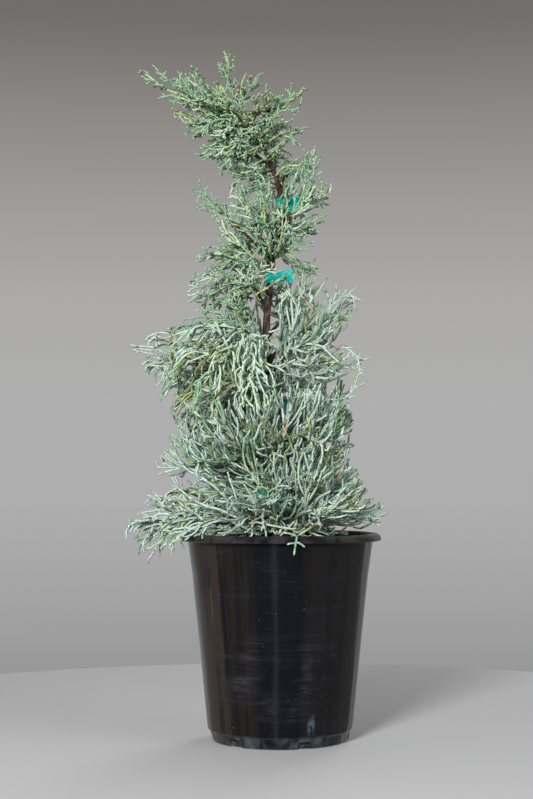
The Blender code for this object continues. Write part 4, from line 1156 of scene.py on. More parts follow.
def make_mottled(name):
    """A colour that drifts to another in soft patches."""
    grey, dark = (0.5, 0.5, 0.5, 1.0), (0.3, 0.3, 0.3, 1.0)
    tree, given, out = group(
        name, "Color", "Color", Color=grey, Other=dark, Vector=NOWHERE, Scale=1.0, Amount=1.0
    )
    field = node(tree, "TexNoise", {"Vector": given["Vector"], "Scale": given["Scale"], "Detail": 2.0})
    ranged = {"Value": field.outputs[0], "From Min": 0.35, "From Max": 0.65, "To Max": given["Amount"]}
    share = node(tree, "MapRange", ranged).outputs[0]
    mixed = node(tree, "MixRGB", {"Fac": share, "Color1": given["Color"], "Color2": given["Other"]})
    tree.links.new(mixed.outputs[0], out)


GROUP_MAKERS = {
    "stretched": make_stretched,
    "unrolled": make_unrolled,
    "patches": make_patches,
    "specks": make_specks,
    "band": make_band,
    "mottled": make_mottled,
}


def mix(tree, share, first, second):
    return node(tree, "MixRGB", {"Fac": share, "Color1": first, "Color2": second}).outputs[0]


def band(tree, value, stretch):
    """A mask of a stretch: its two ends, and how soft they are."""
    low, high, softness = stretch
    return place_group(tree, "band", Value=value, Low=low, High=high, Softness=softness)


def patches(tree, vector, scale, detail, threshold, softness):
    return place_group(
        tree, "patches", Vector=vector, Scale=scale, Detail=detail, Threshold=threshold, Softness=softness
    )


def specks(tree, vector, scale, size, kept):
    return place_group(tree, "specks", Vector=vector, Scale=scale, Size=size, Kept=kept)


def mottled(tree, colour, other, vector, scale, amount):
    return place_group(
        tree, "mottled", Color=colour, Other=other, Vector=vector, Scale=scale, Amount=amount
    )


def height_over_ground(tree):
    return node(tree, "SeparateXYZ", {0: node(tree, "TexCoord").outputs["Object"]}).outputs[2]


def toned(colour, share):
    """The colour made darker, or paler by a share over 1."""
    return tuple(share * value for value in colour)


def material(name, maker, **values):
    """A Principled material. The maker returns what feeds its sockets, and the bump's height and distance."""
    made = bpy.data.materials.get(name)
    if made is not None:
        return made
    made = bpy.data.materials.new(name)
    made.use_nodes = True
    tree = made.node_tree
    shader = tree.nodes["Principled BSDF"]
    fed = maker(tree, **values)
    height, distance = fed.pop("bump", (None, 0.0))
    for label, value in fed.items():
        feed(tree, shader.inputs[label], value)
    if height is not None:
        bump = node(tree, "Bump", {"Height": height, "Distance": distance, "Strength": 1.0})
        tree.links.new(bump.outputs[0], shader.inputs["Normal"])
    return made


# ---------------- finishes
# How a pattern is scaled along each axis, to run level round the pot's wall, down it, or along the trunk.
LEVEL_GRAIN = (0.055, 1.0, 1.0)
UPRIGHT_GRAIN = (1.0, 1.0, 0.07)
BARK_GRAIN_WAY = (1.0, 1.0, 0.18)
YOUNG_BARK = (0.648, 1.0, 0.030)  # from this height to past the top, and how soft its end is
# Where marks stand on the wall, in metres round it from its front or up it, and how soft their ends are.
SCUFFED_UP = (0.020, 0.125, 0.03)
# The stretches round the wall of a painted reflection of a brownish room.
BROWN_REFLECTION_ACROSS = ((-0.125, -0.062, 0.010), (-0.070, -0.022, 0.014), (0.020, 0.120, 0.020))
STREAK_ACROSS = (-0.0885, -0.0855, 0.0015)
STREAK_UP = (0.128, 0.184, 0.02)
# A pale bluish blotch low on the wall, right of its front: where it stands round the wall and up it.
BLOTCH_ACROSS = (0.034, 0.047, 0.004)
BLOTCH_UP = (0.013, 0.040, 0.010)
FOOT_UP = (-0.01, 0.0150, 0.003)
LIP_UP = (0.2217, 0.24, 0.0006)
SCUFF_COLOUR = (0.15, 0.165, 0.20)
# The colour of a painted reflection of a brownish room.
BROWN_REFLECTION_COLOUR = (0.020, 0.0155, 0.0125)
DROP_COLOUR = (0.22, 0.22, 0.24)
STREAK_COLOUR = (0.085, 0.045, 0.016)
BLOTCH_COLOUR = (0.060, 0.085, 0.105)
GRIT_COLOUR = (0.40, 0.38, 0.34)
PEAT_COLOUR = (0.012, 0.008, 0.006)
LIP_BROWN = (0.62, 0.50, 0.42)  # of each part of the colour of dust and painted highlight, on the lip, where it is dust alone


def unrolled(tree, grain=(1.0, 1.0, 1.0)):
    """Places on the pot's wall laid flat."""
    return place_group(tree, "unrolled", Radius=POT_BAND_RADIUS, Scale=grain)


def scaly(tree, colour, shade, rough, scale=240.0):
    """Cords clad in scale leaves, or soft young bark."""
    vector = place_group(tree, "stretched")
    tint = mottled(tree, colour, shade, vector, scale, amount=0.8)
    scales = node(tree, "TexVoronoi", {"Vector": vector, "Scale": scale * 3})
    return {
        "Base Color": tint,
        "Roughness": rough,
        "Specular IOR Level": 0.22,
        "bump": (scales.outputs["Distance"], 0.0004),
    }


def rough_bark(tree, colour, dark, young):
    """Stringy fissured bark, yellowish and smoother where the trunk is young."""
    vector = place_group(tree, "stretched", Scale=BARK_GRAIN_WAY)
    cracks = patches(tree, vector, scale=650.0, detail=4.0, threshold=0.47, softness=0.12)
    flakes = patches(tree, vector, scale=90.0, detail=2.0, threshold=0.50, softness=0.2)
    paler = mix(tree, flakes, colour, toned(colour, 1.7))
    fresh = band(tree, height_over_ground(tree), YOUNG_BARK)
    fresh = times(tree, fresh, times_plus(tree, flakes, 0.5, 0.5))
    return {
        "Base Color": mix(tree, fresh, mix(tree, cracks, dark, paler), young),
        "Roughness": 0.85,
        "Specular IOR Level": 0.25,
        "bump": (cracks, 0.0006),
    }


def crumbs(tree, colour, dark):
    """Potting mix of bark, peat and a little grit."""
    vector = place_group(tree, "stretched")
    tint = mottled(tree, colour, dark, vector, scale=260.0, amount=1.0)
    grit = specks(tree, vector, scale=180.0, size=0.10, kept=0.15)
    lumps = node(tree, "TexNoise", {"Vector": vector, "Scale": 320.0, "Detail": 4.0})
    return {
        "Base Color": mix(tree, grit, tint, GRIT_COLOUR),
        "Roughness": 0.92,
        "bump": (lumps.outputs[0], 0.0015),
    }


def scuffed(tree, flat):
    """Masks of the fine level scratches, and of all the scuffs, thickest low on the wall."""
    level = unrolled(tree, LEVEL_GRAIN)
    lines = patches(tree, level, scale=900.0, detail=2.0, threshold=0.62, softness=0.12)
    smears = patches(tree, level, scale=110.0, detail=4.0, threshold=0.58, softness=0.16)
    worn = patches(tree, flat, scale=19.0, detail=3.0, threshold=0.53, softness=0.14)
    low_middle = band(tree, height_over_ground(tree), SCUFFED_UP)
    scuffs = times(tree, maths(tree, "ADD", lines, smears), worn)
    return lines, times(tree, scuffs, maths(tree, "ADD", 0.30, low_middle))


def streaked_brown_reflection(tree, flat, upright, across):
    """A mask of a painted reflection of a brownish room, in upright streaks with ragged gaps, mostly on the
    wall's left.
    """
    brown_reflection = patches(tree, upright, scale=95.0, detail=4.0, threshold=0.47, softness=0.05)
    runs = patches(tree, flat, scale=170.0, detail=3.0, threshold=0.66, softness=0.03)
    brown_reflection = times(tree, brown_reflection, maths(tree, "SUBTRACT", 1.0, runs))
    left, beside, right = (band(tree, across, stretch) for stretch in BROWN_REFLECTION_ACROSS)
    above = times_plus(tree, beside, 0.30, times(tree, right, 0.16))
    return times(tree, brown_reflection, maths(tree, "ADD", left, above))


def glossy_wall(tree, colour, dust):
    """Glossy black plastic with scuffs, a narrow brown streak, dried droplets, a pale bluish blotch, a
    painted reflection of a brownish room in upright streaks, dust on its lip, and dust with a painted bluish
    highlight on its foot.
    """
    flat, upright = unrolled(tree), unrolled(tree, UPRIGHT_GRAIN)
    across, _, up = node(tree, "SeparateXYZ", {0: flat}).outputs
    lines, scuffs = scuffed(tree, flat)
    brown_reflection = streaked_brown_reflection(tree, flat, upright, across)
    drops = specks(tree, flat, scale=150.0, size=0.08, kept=0.10)
    drops = maths(tree, "MAXIMUM", drops, specks(tree, flat, scale=420.0, size=0.15, kept=0.04))
    streak = times(tree, band(tree, across, STREAK_ACROSS), band(tree, up, STREAK_UP))
    # A pale bluish blotch, low on the wall right of its front.
    bluish_blotch = times(tree, band(tree, across, BLOTCH_ACROSS), band(tree, up, BLOTCH_UP))
    ragged = patches(tree, flat, scale=130.0, detail=3.0, threshold=0.48, softness=0.10)
    foot, lip = band(tree, up, FOOT_UP), band(tree, up, LIP_UP)
    grime_and_highlight = patches(tree, flat, scale=60.0, detail=6.0, threshold=0.54, softness=0.16)
    layers = (
        (times(tree, scuffs, 0.11), SCUFF_COLOUR),
        # A painted reflection of a brownish room, in upright streaks.
        (times(tree, brown_reflection, 0.80), BROWN_REFLECTION_COLOUR),
        (times(tree, drops, 0.45), DROP_COLOUR),
        (times(tree, streak, 0.7), STREAK_COLOUR),
        (times(tree, times(tree, bluish_blotch, ragged), 0.65), BLOTCH_COLOUR),
        # On the foot, dust with a painted bluish highlight in its patches.
        (times(tree, foot, times_plus(tree, grime_and_highlight, 0.62, 0.03)), dust),
        (times(tree, lip, times_plus(tree, grime_and_highlight, 0.60, 0.02)), tuple(np.multiply(dust, LIP_BROWN))),
    )
    tint = colour
    for share, over in layers:
        tint = mix(tree, share, tint, over)
    rough = times_plus(tree, scuffs, 0.16, 0.11)
    rough = times_plus(tree, brown_reflection, 0.20, rough)
    rough = times_plus(tree, times(tree, maths(tree, "MAXIMUM", foot, lip), grime_and_highlight), 0.45, rough)
    waves = node(tree, "TexNoise", {"Vector": flat, "Scale": 14.0, "Detail": 1.0}).outputs[0]
    ripples = patches(tree, upright, scale=42.0, detail=2.0, threshold=0.5, softness=0.3)
    relief = times_plus(tree, lines, 0.010, waves)
    relief = times_plus(tree, ripples, 0.20, relief)
    relief = times_plus(tree, drops, 0.06, relief)
    return {"Base Color": tint, "Roughness": rough, "bump": (relief, 0.0012)}


def stretchy_tape(tree, colour):
    """Soft plastic tape, a little waxy."""
    vector = place_group(tree, "stretched")
    folds = node(tree, "TexNoise", {"Vector": vector, "Scale": 160.0, "Detail": 2.0})
    tint = mottled(tree, colour, toned(colour, 0.6), vector, scale=120.0, amount=0.5)
    return {"Base Color": tint, "Roughness": 0.38, "bump": (folds.outputs[0], 0.0008)}


def plain(tree, colour, rough):
    return {"Base Color": colour, "Roughness": rough}


# ---------------- the pot and its potting mix
POT_SEGMENTS = 192
LIP_ROUND = 0.0016
DENT_DEPTH = 0.0006
DENT_INWARD = 0.0002
DENTS_FROM = 0.014  # up the wall
LIP_DROOP = 0.0009
DROOP_FROM = 0.195
DROOP_WAVES = 2.2  # how close the lip's highs and lows lie
DENT_PLACES = (2.6, 14.0)  # how close dents lie round the wall and up it
DENT_EASE = 40  # to a metre, how fast they deepen
DENT_LEAST_RADIUS = 0.05  # within which they turn shallow
DRAIN_FOOT_SHARE = 0.92  # of a drain's width, where it meets the ground
DRAIN_TOP_SHARE = 0.72  # of that, at its top
DRAIN_BEVEL = 0.0022
SOIL_SEGMENTS = 160
SOIL_RINGS = 56
SOIL_GAP = 0.0008  # between the mix and the pot's wall
SOIL_END_GAP = 0.0006  # between the mix and the pot, under it and at its top's edge
SOIL_STEP = 0.0005  # from the wall's foot up to where the mix widens
SOIL_MIDDLE = 0.004  # the radius of its top's last face
SOIL_DEPTH = 0.004  # of the mix that is lumpy
SOIL_HIGHEST = 0.0012  # over the solid's top
SOIL_LEVEL = (0.003, 0.012)  # from the wall: where the mix is level, and how far on it is at its lumpiest
MOUND_RADIUS = 0.030
LUMPS = 95.0  # to a metre
LUMP_NOISE = (0.7, 2.1, 4)  # its roughness, the ratio of its scales and their number
LUMP_HEIGHT = 0.0030
SWELLS = 28.0
SWELL_HEIGHT = 0.0022
CHIPS = 900
CHIP_MARGIN = 0.010  # from the wall
CHIP_LIFT = 0.0012
CHIP_MOUND = 0.0030
CHIP_LEAST = (0.0012, 0.0008, 0.0004)  # half its length, width and thickness
CHIP_MOST = (0.0050, 0.0024, 0.0011)
CHIP_CORNERS = (0.55, 1.0)  # how far out its corners stand, as a share of a whole block's
CHIP_TILT = 0.25
CHIP_BARKS = (
    ("chip_bark", (0.060, 0.032, 0.020), (0.020, 0.012, 0.008)),
    ("chip_pale", (0.130, 0.085, 0.055), (0.060, 0.036, 0.022)),
)


def wall_radius(height):
    """The outside of the pot's wall, between its foot and its lip."""
    heights = (POT_BASE_HEIGHT, POT_BAND_HEIGHT, POT_HEIGHT - POT_RIM_DROP)
    return float(np.interp(height, heights, (POT_BASE_RADIUS, POT_BAND_RADIUS, POT_SHOULDER_RADIUS)))


def pot_profile():
    """Radius and height of each ring of the pot, up its outside, over its lip and down its inside."""
    foot, base, band_edge, shoulder = FOOT_BASE_RADIUS, POT_BASE_RADIUS, POT_BAND_RADIUS, POT_SHOULDER_RADIUS
    hollow, rim, top = FOOT_BASE_RADIUS - FOOT_RING, POT_RIM_RADIUS, POT_HEIGHT
    lip_foot = POT_HEIGHT - POT_RIM_DROP
    rounded = [math.radians(turn) for turn in range(-90, 1, 30)]
    outside = [
        (hollow - 0.001, POT_WALL),
        (hollow, 0.0004),
        (foot - 0.0012, 0.0),
        (foot, 0.0008),
        (FOOT_TOP_RADIUS - 0.0008, FOOT_HEIGHT - 0.0012),
        (FOOT_TOP_RADIUS, FOOT_HEIGHT),
        (base - 0.0010, FOOT_HEIGHT + 0.0010),
        (base - 0.0002, POT_BASE_HEIGHT - 0.0020),
        *((wall_radius(height), height) for height in (0.024, 0.040, 0.070, 0.100, 0.130, 0.160)),
        (band_edge - 0.0003, POT_BAND_HEIGHT - 0.0014),
        (band_edge, POT_BAND_HEIGHT),
        (band_edge + 0.0002, POT_BAND_HEIGHT + 0.0014),
        (shoulder - 0.0004, lip_foot - 0.0040),
        (shoulder + 0.0002, lip_foot - 0.0012),
        (shoulder + 0.0022, lip_foot - 0.0004),
        *(
            (rim - LIP_ROUND + LIP_ROUND * math.cos(turn), lip_foot + 0.0010 + 0.0014 * math.sin(turn))
            for turn in rounded
        ),
        (rim - 0.0006, top - 0.0042),
        (rim - 0.0024, top - 0.0016),
        (rim - 0.0050, top - 0.0003),
        (rim - 0.0063, top),
        (shoulder + 0.0012, top - 0.0008),
        (shoulder + 0.0002, top - 0.0026),
    ]
    inside = [
        *((wall_radius(height) - POT_WALL, height) for height in (lip_foot - 0.004, POT_BAND_HEIGHT, 0.10)),
        (wall_radius(POT_BASE_HEIGHT) - POT_WALL, POT_BASE_HEIGHT),
        (hollow, FOOT_HEIGHT),
        (hollow, POT_WALL * 1.6),
    ]
    return outside + inside


def drain_cutter(index):
    """A block wider at the bottom, with rounded edges, that notches the foot."""
    act_on()
    bpy.ops.mesh.primitive_cube_add(size=1.0, location=(0, 0, 0))
    cutter = bpy.context.object
    length = POT_RIM_RADIUS - FOOT_BASE_RADIUS + DRAIN_DEPTH
    edit_all(cutter)
    bpy.ops.transform.resize(value=(length, DRAIN_WIDTH * DRAIN_FOOT_SHARE, DRAIN_HEIGHT * 2))
    bpy.ops.transform.translate(value=(FOOT_BASE_RADIUS - DRAIN_DEPTH + length / 2, 0, 0))
    bpy.ops.mesh.select_all(action="DESELECT")
    bpy.ops.object.mode_set(mode="OBJECT")
    for face in cutter.data.polygons:
        face.select = face.normal.z > 0.9
    bpy.ops.object.mode_set(mode="EDIT")
    bpy.ops.transform.resize(value=(1.0, DRAIN_TOP_SHARE, 1.0))
    bpy.ops.mesh.select_all(action="SELECT")
    bpy.ops.mesh.bevel(offset=DRAIN_BEVEL, segments=3)
    bpy.ops.object.mode_set(mode="OBJECT")
    cutter.rotation_euler.z = math.radians(DRAIN_FIRST + index * 360 / DRAINS)
    return cutter


def dented(points, normals):
    """A lip that isn't quite level or round, and a wall with shallow dents, as on a used pot."""
    radius = np.hypot(points[:, 0], points[:, 1])
    around = points * (1.0, 1.0, 0.0) / np.maximum(radius, 1e-6)[:, None]
    high = np.maximum(0.0, (points[:, 2] - DROOP_FROM) / (POT_HEIGHT - DROOP_FROM))
    sway = noise_at(around, scale=DROOP_WAVES, shift=1.7)
    push = noise_at(around * DENT_PLACES[0] + UP * points[:, 2:] * DENT_PLACES[1])
    eased = np.clip((points[:, 2] - DENTS_FROM) * DENT_EASE, 0.0, 1.0)
    share = 1 + (DENT_DEPTH * push - DENT_INWARD) / np.maximum(radius, DENT_LEAST_RADIUS) * eased
    moved = points * np.stack([share, share, np.ones_like(share)], -1)
    moved[:, 2] -= LIP_DROOP * high**3 * (1 + sway) / 2
    return moved


def build_pot(settings):
    """The pot's shell, with the drains cut from its foot."""
    shell = lathe(pot_profile(), POT_SEGMENTS)
    for cutter in [drain_cutter(index) for index in range(DRAINS)]:
        cut = shell.modifiers.new("drain", "BOOLEAN")
        cut.operation = "DIFFERENCE"
        cut.object = cutter
        apply_all(shell)
        bpy.data.objects.remove(cutter, do_unlink=True)
    edit_all(shell)
    outward()
    move_vertices(shell, dented)
    # The colour of the dust on lip and foot, which on the foot is also a painted bluish highlight.
    dust = tuple(settings.dust_colour)
    finish = material("pot_plastic", glossy_wall, colour=tuple(settings.pot_colour), dust=dust)
    settle(shell, "pot_shell", [finish], ["pot"], smooth=32)


def lumpy(points, normals):
    """The mix's top rises and falls in lumps, and stays level where it meets the wall."""
    top = SOIL_TOP - SOIL_MOUND
    radius = np.hypot(points[:, 0], points[:, 1])
    mound = SOIL_MOUND * np.exp(-((radius / MOUND_RADIUS) ** 2))
    lumps = np.array([noise.fractal(point * LUMPS, *LUMP_NOISE) for point in map(Vector, points)])
    lumps = lumps * LUMP_HEIGHT + noise_at(points, SWELLS) * SWELL_HEIGHT
    inner = np.clip((POT_SHOULDER_RADIUS - SOIL_LEVEL[0] - radius) / SOIL_LEVEL[1], 0.0, 1.0)
    heights = np.minimum(top + mound + lumps * inner, SOIL_TOP + SOIL_HIGHEST)
    points[:, 2] = np.where(points[:, 2] < top - SOIL_DEPTH, points[:, 2], heights)
    return points


def build_soil(settings):
    """The ball of potting mix, from the pot's floor to its lumpy top, and the chips on it."""
    top = SOIL_TOP - SOIL_MOUND
    edge = wall_radius(top) - POT_WALL - SOIL_END_GAP
    rings = np.linspace(edge, SOIL_MIDDLE, SOIL_RINGS)
    low = (FOOT_BASE_RADIUS - FOOT_RING - SOIL_GAP, POT_WALL + SOIL_END_GAP)
    middle = (wall_radius(POT_BASE_HEIGHT) - POT_WALL - SOIL_GAP, POT_BASE_HEIGHT + SOIL_STEP)
    shoulder = (wall_radius(POT_BAND_HEIGHT) - POT_WALL - SOIL_GAP, POT_BAND_HEIGHT)
    profile = [low, (low[0], FOOT_HEIGHT), middle, shoulder, *((wide, top) for wide in rings)]
    ball = lathe(profile, SOIL_SEGMENTS)
    move_vertices(ball, lumpy)
    finish = material("potting_mix", crumbs, colour=tuple(settings.soil_colour), dark=PEAT_COLOUR)
    settle(ball, "soil_ball", [finish], ["soil"], smooth=60)
    build_chips(finish)


def build_chips(mix_finish):
    """Chips of bark and crumbs lying on the mix, each a squashed block of its own shape."""
    draw = np.random.default_rng(11)
    corners = np.array([(x, y, z) for x in (-1, 1) for y in (-1, 1) for z in (-1, 1)], float)
    quads = ((0, 1, 3, 2), (4, 6, 7, 5), (0, 4, 5, 1), (2, 3, 7, 6), (0, 2, 6, 4), (1, 5, 7, 3))
    faces = np.array([(q[0], q[i], q[i + 1]) for q in quads for i in (1, 2)])
    radius = np.sqrt(draw.uniform(0.0, 1.0, CHIPS)) * (POT_SHOULDER_RADIUS - CHIP_MARGIN)
    turn = draw.uniform(0.0, TAU, CHIPS)
    top = SOIL_TOP - SOIL_MOUND + CHIP_LIFT + CHIP_MOUND * np.exp(-((radius / MOUND_RADIUS) ** 2))
    middle = np.stack([radius * np.cos(turn), radius * np.sin(turn), top], -1)
    size = draw.uniform(CHIP_LEAST, CHIP_MOST, (CHIPS, 3))
    shape = corners[None] * size[:, None] * draw.uniform(*CHIP_CORNERS, (CHIPS, 8, 3))
    spin, tilt = draw.uniform(0.0, TAU, CHIPS), draw.normal(0.0, CHIP_TILT, CHIPS)
    along = np.stack([np.cos(spin) * np.cos(tilt), np.sin(spin) * np.cos(tilt), np.sin(tilt)], -1)
    side = unit(np.cross(UP, along))
    frames = np.stack([along, side, np.cross(along, side)], 1)
    bundle = Bundle()
    bundle.vertices = [(np.einsum("nij,njk->nik", shape, frames) + middle[:, None]).reshape(-1, 3)]
    bundle.faces = [(faces[None] + np.arange(CHIPS)[:, None, None] * 8).reshape(-1, 3)]
    bundle.finishes = [np.repeat(draw.integers(0, 3, CHIPS), len(faces))]
    barks = [material(name, scaly, colour=own, shade=shade, rough=0.9) for name, own, shade in CHIP_BARKS]
    chips = bundle.piece("soil_chips", [mix_finish, *barks], smooth=False)
    settle(chips, "soil_chips", [], ["soil"])


# ---------------- ties of plastic tape
TAPE_STEPS = 22  # round the trunk
TAIL_STEPS = 7
TAPE_OPENING = 25  # degrees to either side of its tails, where the tape lies off the trunk
TAPE_RIPPLE = 0.0006
TAIL_RIPPLE = 0.0008
TAIL_RISES = (0.0016, -0.0022)  # at the tip of each tail
TAPE_ROOM = 1.5  # from the trunk to the tape's middle, in its thicknesses
TAPE_APART = 1.2  # from each tail to the line between them, in its thicknesses, where they meet
TAIL_FOOT = 1.2  # where the tails begin, in radii of the tape's ring
TAIL_SPLAY = 3  # how many times further apart the tails' tips are
RIPPLE_TURNS = 3  # waves round the trunk
TAIL_WAVE = 7  # radians along a tail


def tie_route(height, radius, degrees):
    """Where the tape's middle runs: in along one tail, once round the trunk and out along the other."""
    start = math.radians(degrees)
    opening = math.radians(TAPE_OPENING)
    ring = [
        (radius * math.cos(turn), radius * math.sin(turn), TAPE_RIPPLE * math.sin(turn * RIPPLE_TURNS))
        for turn in np.linspace(opening, TAU - opening, TAPE_STEPS)
    ]
    apart = TIE_THICKNESS * TAPE_APART
    tails = []
    for length, side, rise in zip(TIE_TAILS, (apart, -apart), TAIL_RISES):
        steps = np.linspace(1.0, 0.0, TAIL_STEPS)
        beside = side * (1 + TAIL_SPLAY * steps) + TAIL_RIPPLE * np.sin(steps * TAIL_WAVE)
        tails.append(list(zip(radius * TAIL_FOOT + length * steps, beside, rise * steps)))
    route = tails[0] + ring + tails[1][::-1]
    middle, turned = trunk_axis(height), []
    for x, y, z in route:
        along = (math.cos(start) * x - math.sin(start) * y, math.sin(start) * x + math.cos(start) * y, z)
        lean = trunk_axis(height + z) - middle
        turned.append(Vector(middle + np.array(along) + lean * (1.0, 1.0, 0.0)))
    return turned


def build_ties(settings):
    """Each tape is an edge as long as the tape is wide, extruded along its route and given its thickness."""
    finish = material("tie_plastic", stretchy_tape, colour=tuple(settings.tape_colour))
    for name, height, degrees in TIES:
        radius = float(trunk_radius(height - TIE_WIDTH / 2)) + TIE_THICKNESS * TAPE_ROOM
        route = tie_route(height, radius, degrees)
        act_on()
        bpy.ops.mesh.primitive_plane_add(size=TIE_WIDTH, location=(0, 0, 0), rotation=(0, math.pi / 2, 0))
        tape = bpy.context.object
        act_on(tape)
        bpy.ops.object.transform_apply(location=True, rotation=True, scale=True)
        for vertex in tape.data.vertices:
            vertex.select = vertex.co.y > 0
        for side in (*tape.data.edges, *tape.data.polygons):
            side.select = False
        bpy.ops.object.mode_set(mode="EDIT")
        bpy.ops.mesh.select_mode(type="VERT")
        bpy.ops.mesh.delete(type="VERT")
        bpy.ops.mesh.select_mode(type="EDGE")
        bpy.ops.mesh.select_all(action="SELECT")
        bpy.ops.transform.translate(value=route[0] - Vector((0.0, -TIE_WIDTH / 2, 0.0)))
        for before, after in zip(route, route[1:]):
            bpy.ops.mesh.extrude_region_move(TRANSFORM_OT_translate={"value": after - before})
        outward()
        thick = tape.modifiers.new("thickness", "SOLIDIFY")
        thick.thickness, thick.offset = TIE_THICKNESS, 0.0
        apply_all(tape)
        edit_all(tape)
        outward()
        settle(tape, f"{name}_tape", [finish], [name], smooth=40)


# ---------------- the barked trunk, its boughs and stems
BARK_GRAIN = 0.00055
BARK_DEPTH = 0.00042
BARK_STRETCH = (420.0, 420.0, 75.0)  # its fissures are long
FLAKE_STRETCH = (260.0, 260.0, 150.0)
FISSURE_NOISE = (0.8, 2.2, 3, 1.0, 2.0)  # roughness, ratio and number of scales, offset and gain
FISSURE_MIDDLE = 1.1  # of the noise
FISSURE_SHARE, FLAKE_SHARE = 0.55, 0.5  # of the bark's depth
THICK_BARK = 0.0045  # the trunk's radius over which its bark has its full depth
COLLAR = 1.25  # a bough's girth where it leaves the trunk, as a share of its own
BOUGH_NARROWS = 0.4  # of its length, where it has its own girth
TRUNK_RINGS = 90
TRUNK_SUNK = 0.0015  # into the mix
TRUNK_OVERLAP = 0.001  # past its top
BOUGH_RINGS = 12
BOUGH_OVERLAP = 0.0006
STEM_COLOUR = (0.085, 0.050, 0.030)
STEM_SHADE = (0.030, 0.018, 0.012)
STEM_RINGS = 16
STEM_SIDES = 6
STEM_ROOT = 1.1  # its girth on the trunk's axis, as a share of its own
STEM_BARED = 0.15  # how far a stem runs on, as a share of its length, past its first cords
STEM_FOOT = 0.3  # of the way out of the trunk, where the stem of a mass without a bough starts


def masses():
    """Every mass of foliage, from the top down."""
    return [Mass(tier, sector) for tier in range(len(TIERS)) for sector in range(SECTORS)] + [Leader()]


def limb_curve(points, radii):
    """A bevelled curve through points, as thick at each as its radius."""
    data = bpy.data.curves.new("limb", "CURVE")
    data.dimensions, data.bevel_depth, data.bevel_resolution = "3D", 1.0, 3
    data.use_fill_caps = True
    line = data.splines.new("POLY")
    line.points.add(len(points) - 1)
    for spot, point, radius in zip(line.points, points, radii):
        spot.co = (*point, 1.0)
        spot.radius = radius
    made = bpy.data.objects.new("limb", data)
    bpy.context.scene.collection.objects.link(made)
    return made


def barked(points, normals):
    """Bark relief: fissures that run along the limb, and lobes where the roots begin."""
    out = (points - trunk_axis(points[:, 2])) * (1.0, 1.0, 0.0)
    girth = trunk_radius(points[:, 2])
    thick = np.minimum(1.0, girth / THICK_BARK)
    stretched = map(Vector, points * BARK_STRETCH)
    fissures = np.array([noise.ridged_multi_fractal(point, *FISSURE_NOISE) for point in stretched])
    relief = (fissures - FISSURE_MIDDLE) * FISSURE_SHARE
    relief = relief + noise_at(points * FLAKE_STRETCH, shift=7.0) * FLAKE_SHARE
    points = points + normals * (relief * BARK_DEPTH * thick)[:, None]
    lobe = np.exp(-np.maximum(points[:, 2] - SOIL_TOP, 0.0) / ROOT_FLARE_HEIGHT) * ROOT_LOBE_DEPTH
    lobe = np.where(np.hypot(out[:, 0], out[:, 1]) < girth * 2, lobe, 0.0)
    return points + out * (lobe * np.cos(ROOT_LOBES * np.arctan2(out[:, 1], out[:, 0])))[:, None]


def build_bark(settings):
    """Trunk and boughs, grown together at their collars, with bark relief."""
    heights = np.linspace(SOIL_TOP - TRUNK_SUNK, TRUNK_TOP + TRUNK_OVERLAP, TRUNK_RINGS)
    limbs = [limb_curve(trunk_axis(heights), trunk_radius(heights))]
    replaced = ["trunk"]
    for mass in masses():
        if not mass.has_bough:
            continue
        shares = np.linspace(0.0, mass.start + BOUGH_OVERLAP / mass.reach, BOUGH_RINGS)
        places = (0.0, BOUGH_NARROWS * mass.start, mass.start)
        radii = np.interp(shares, places, (BOUGH_RADII[0] * COLLAR, *BOUGH_RADII))
        limbs.append(limb_curve(mass.stem_points(shares), radii))
        replaced.append(f"{mass.name}_bough")
    act_on(*limbs)
    bpy.ops.object.convert(target="MESH")
    bpy.ops.object.join()
    bark = bpy.context.object
    fused = bark.modifiers.new("fused", "REMESH")
    fused.mode, fused.voxel_size = "VOXEL", BARK_GRAIN
    soft = bark.modifiers.new("soft", "SMOOTH")
    soft.iterations, soft.factor = 3, 0.5
    apply_all(bark)
    move_vertices(bark, barked)
    colour, young = tuple(settings.bark_colour), tuple(settings.young_colour)
    finish = material("trunk_bark", rough_bark, colour=colour, dark=toned(colour, 0.30), young=young)
    settle(bark, "barked_trunk", [finish], replaced, smooth=70)


def build_twigs():
    """The stem of each mass, growing on from its bough or from the trunk, brown at its root."""
    bundle = Bundle()
    for mass in masses():
        first = mass.start * (1.0 if mass.has_bough else STEM_FOOT)
        last = mass.start + (STEM_LEAFY + STEM_BARED) * (mass.end - mass.start)
        shares = np.linspace(first, last, STEM_RINGS)
        radii = np.interp(shares, (0.0, mass.start, 1.0), (STEM_RADII[0] * STEM_ROOT, *STEM_RADII))
        bundle.tubes(stem_line(mass, shares)[None], radii[None, :-1], STEM_SIDES, np.array([0]))
    finish = material("stem_bark", scaly, colour=STEM_COLOUR, shade=STEM_SHADE, rough=0.8, scale=160.0)
    stems = bundle.piece("stems", [finish])
    settle(stems, "stems", [], ["leader_foliage"])


# ---------------- the foliage
def foliage_materials(settings):
    """A material for each of the foliage colours, and last for the tips."""
    made = []
    for name in (*FOLIAGE_COLOURS, "tip"):
        colour = tuple(getattr(settings, f"{name}_colour"))
        made.append(material(f"{name}_cords", scaly, colour=colour, shade=toned(colour, 0.62), rough=0.75))
    return made


# Dead twigs that show: the mass each hangs on, where it leaves the foliage and where it ends.
DEAD_TWIGS = (
    ("lower_front_right", (0.0612, -0.0420, 0.2875), (0.0692, -0.0475, 0.3065)),
    ("middle_right", (0.0600, -0.0250, 0.4330), (0.0735, -0.0300, 0.4430)),
    ("middle_front_right", (0.0210, -0.0560, 0.4890), (0.0370, -0.0600, 0.4670)),
    ("upper_front_left", (-0.0190, -0.0360, 0.5280), (-0.0330, -0.0420, 0.5400)),
    ("lower_front_right", (0.0035, -0.0880, 0.3330), (0.0075, -0.0960, 0.3510)),
    ("middle_front_left", (-0.0500, -0.0560, 0.3920), (-0.0640, -0.0600, 0.3860)),
)
DEAD_COLOUR = (0.50, 0.30, 0.21)
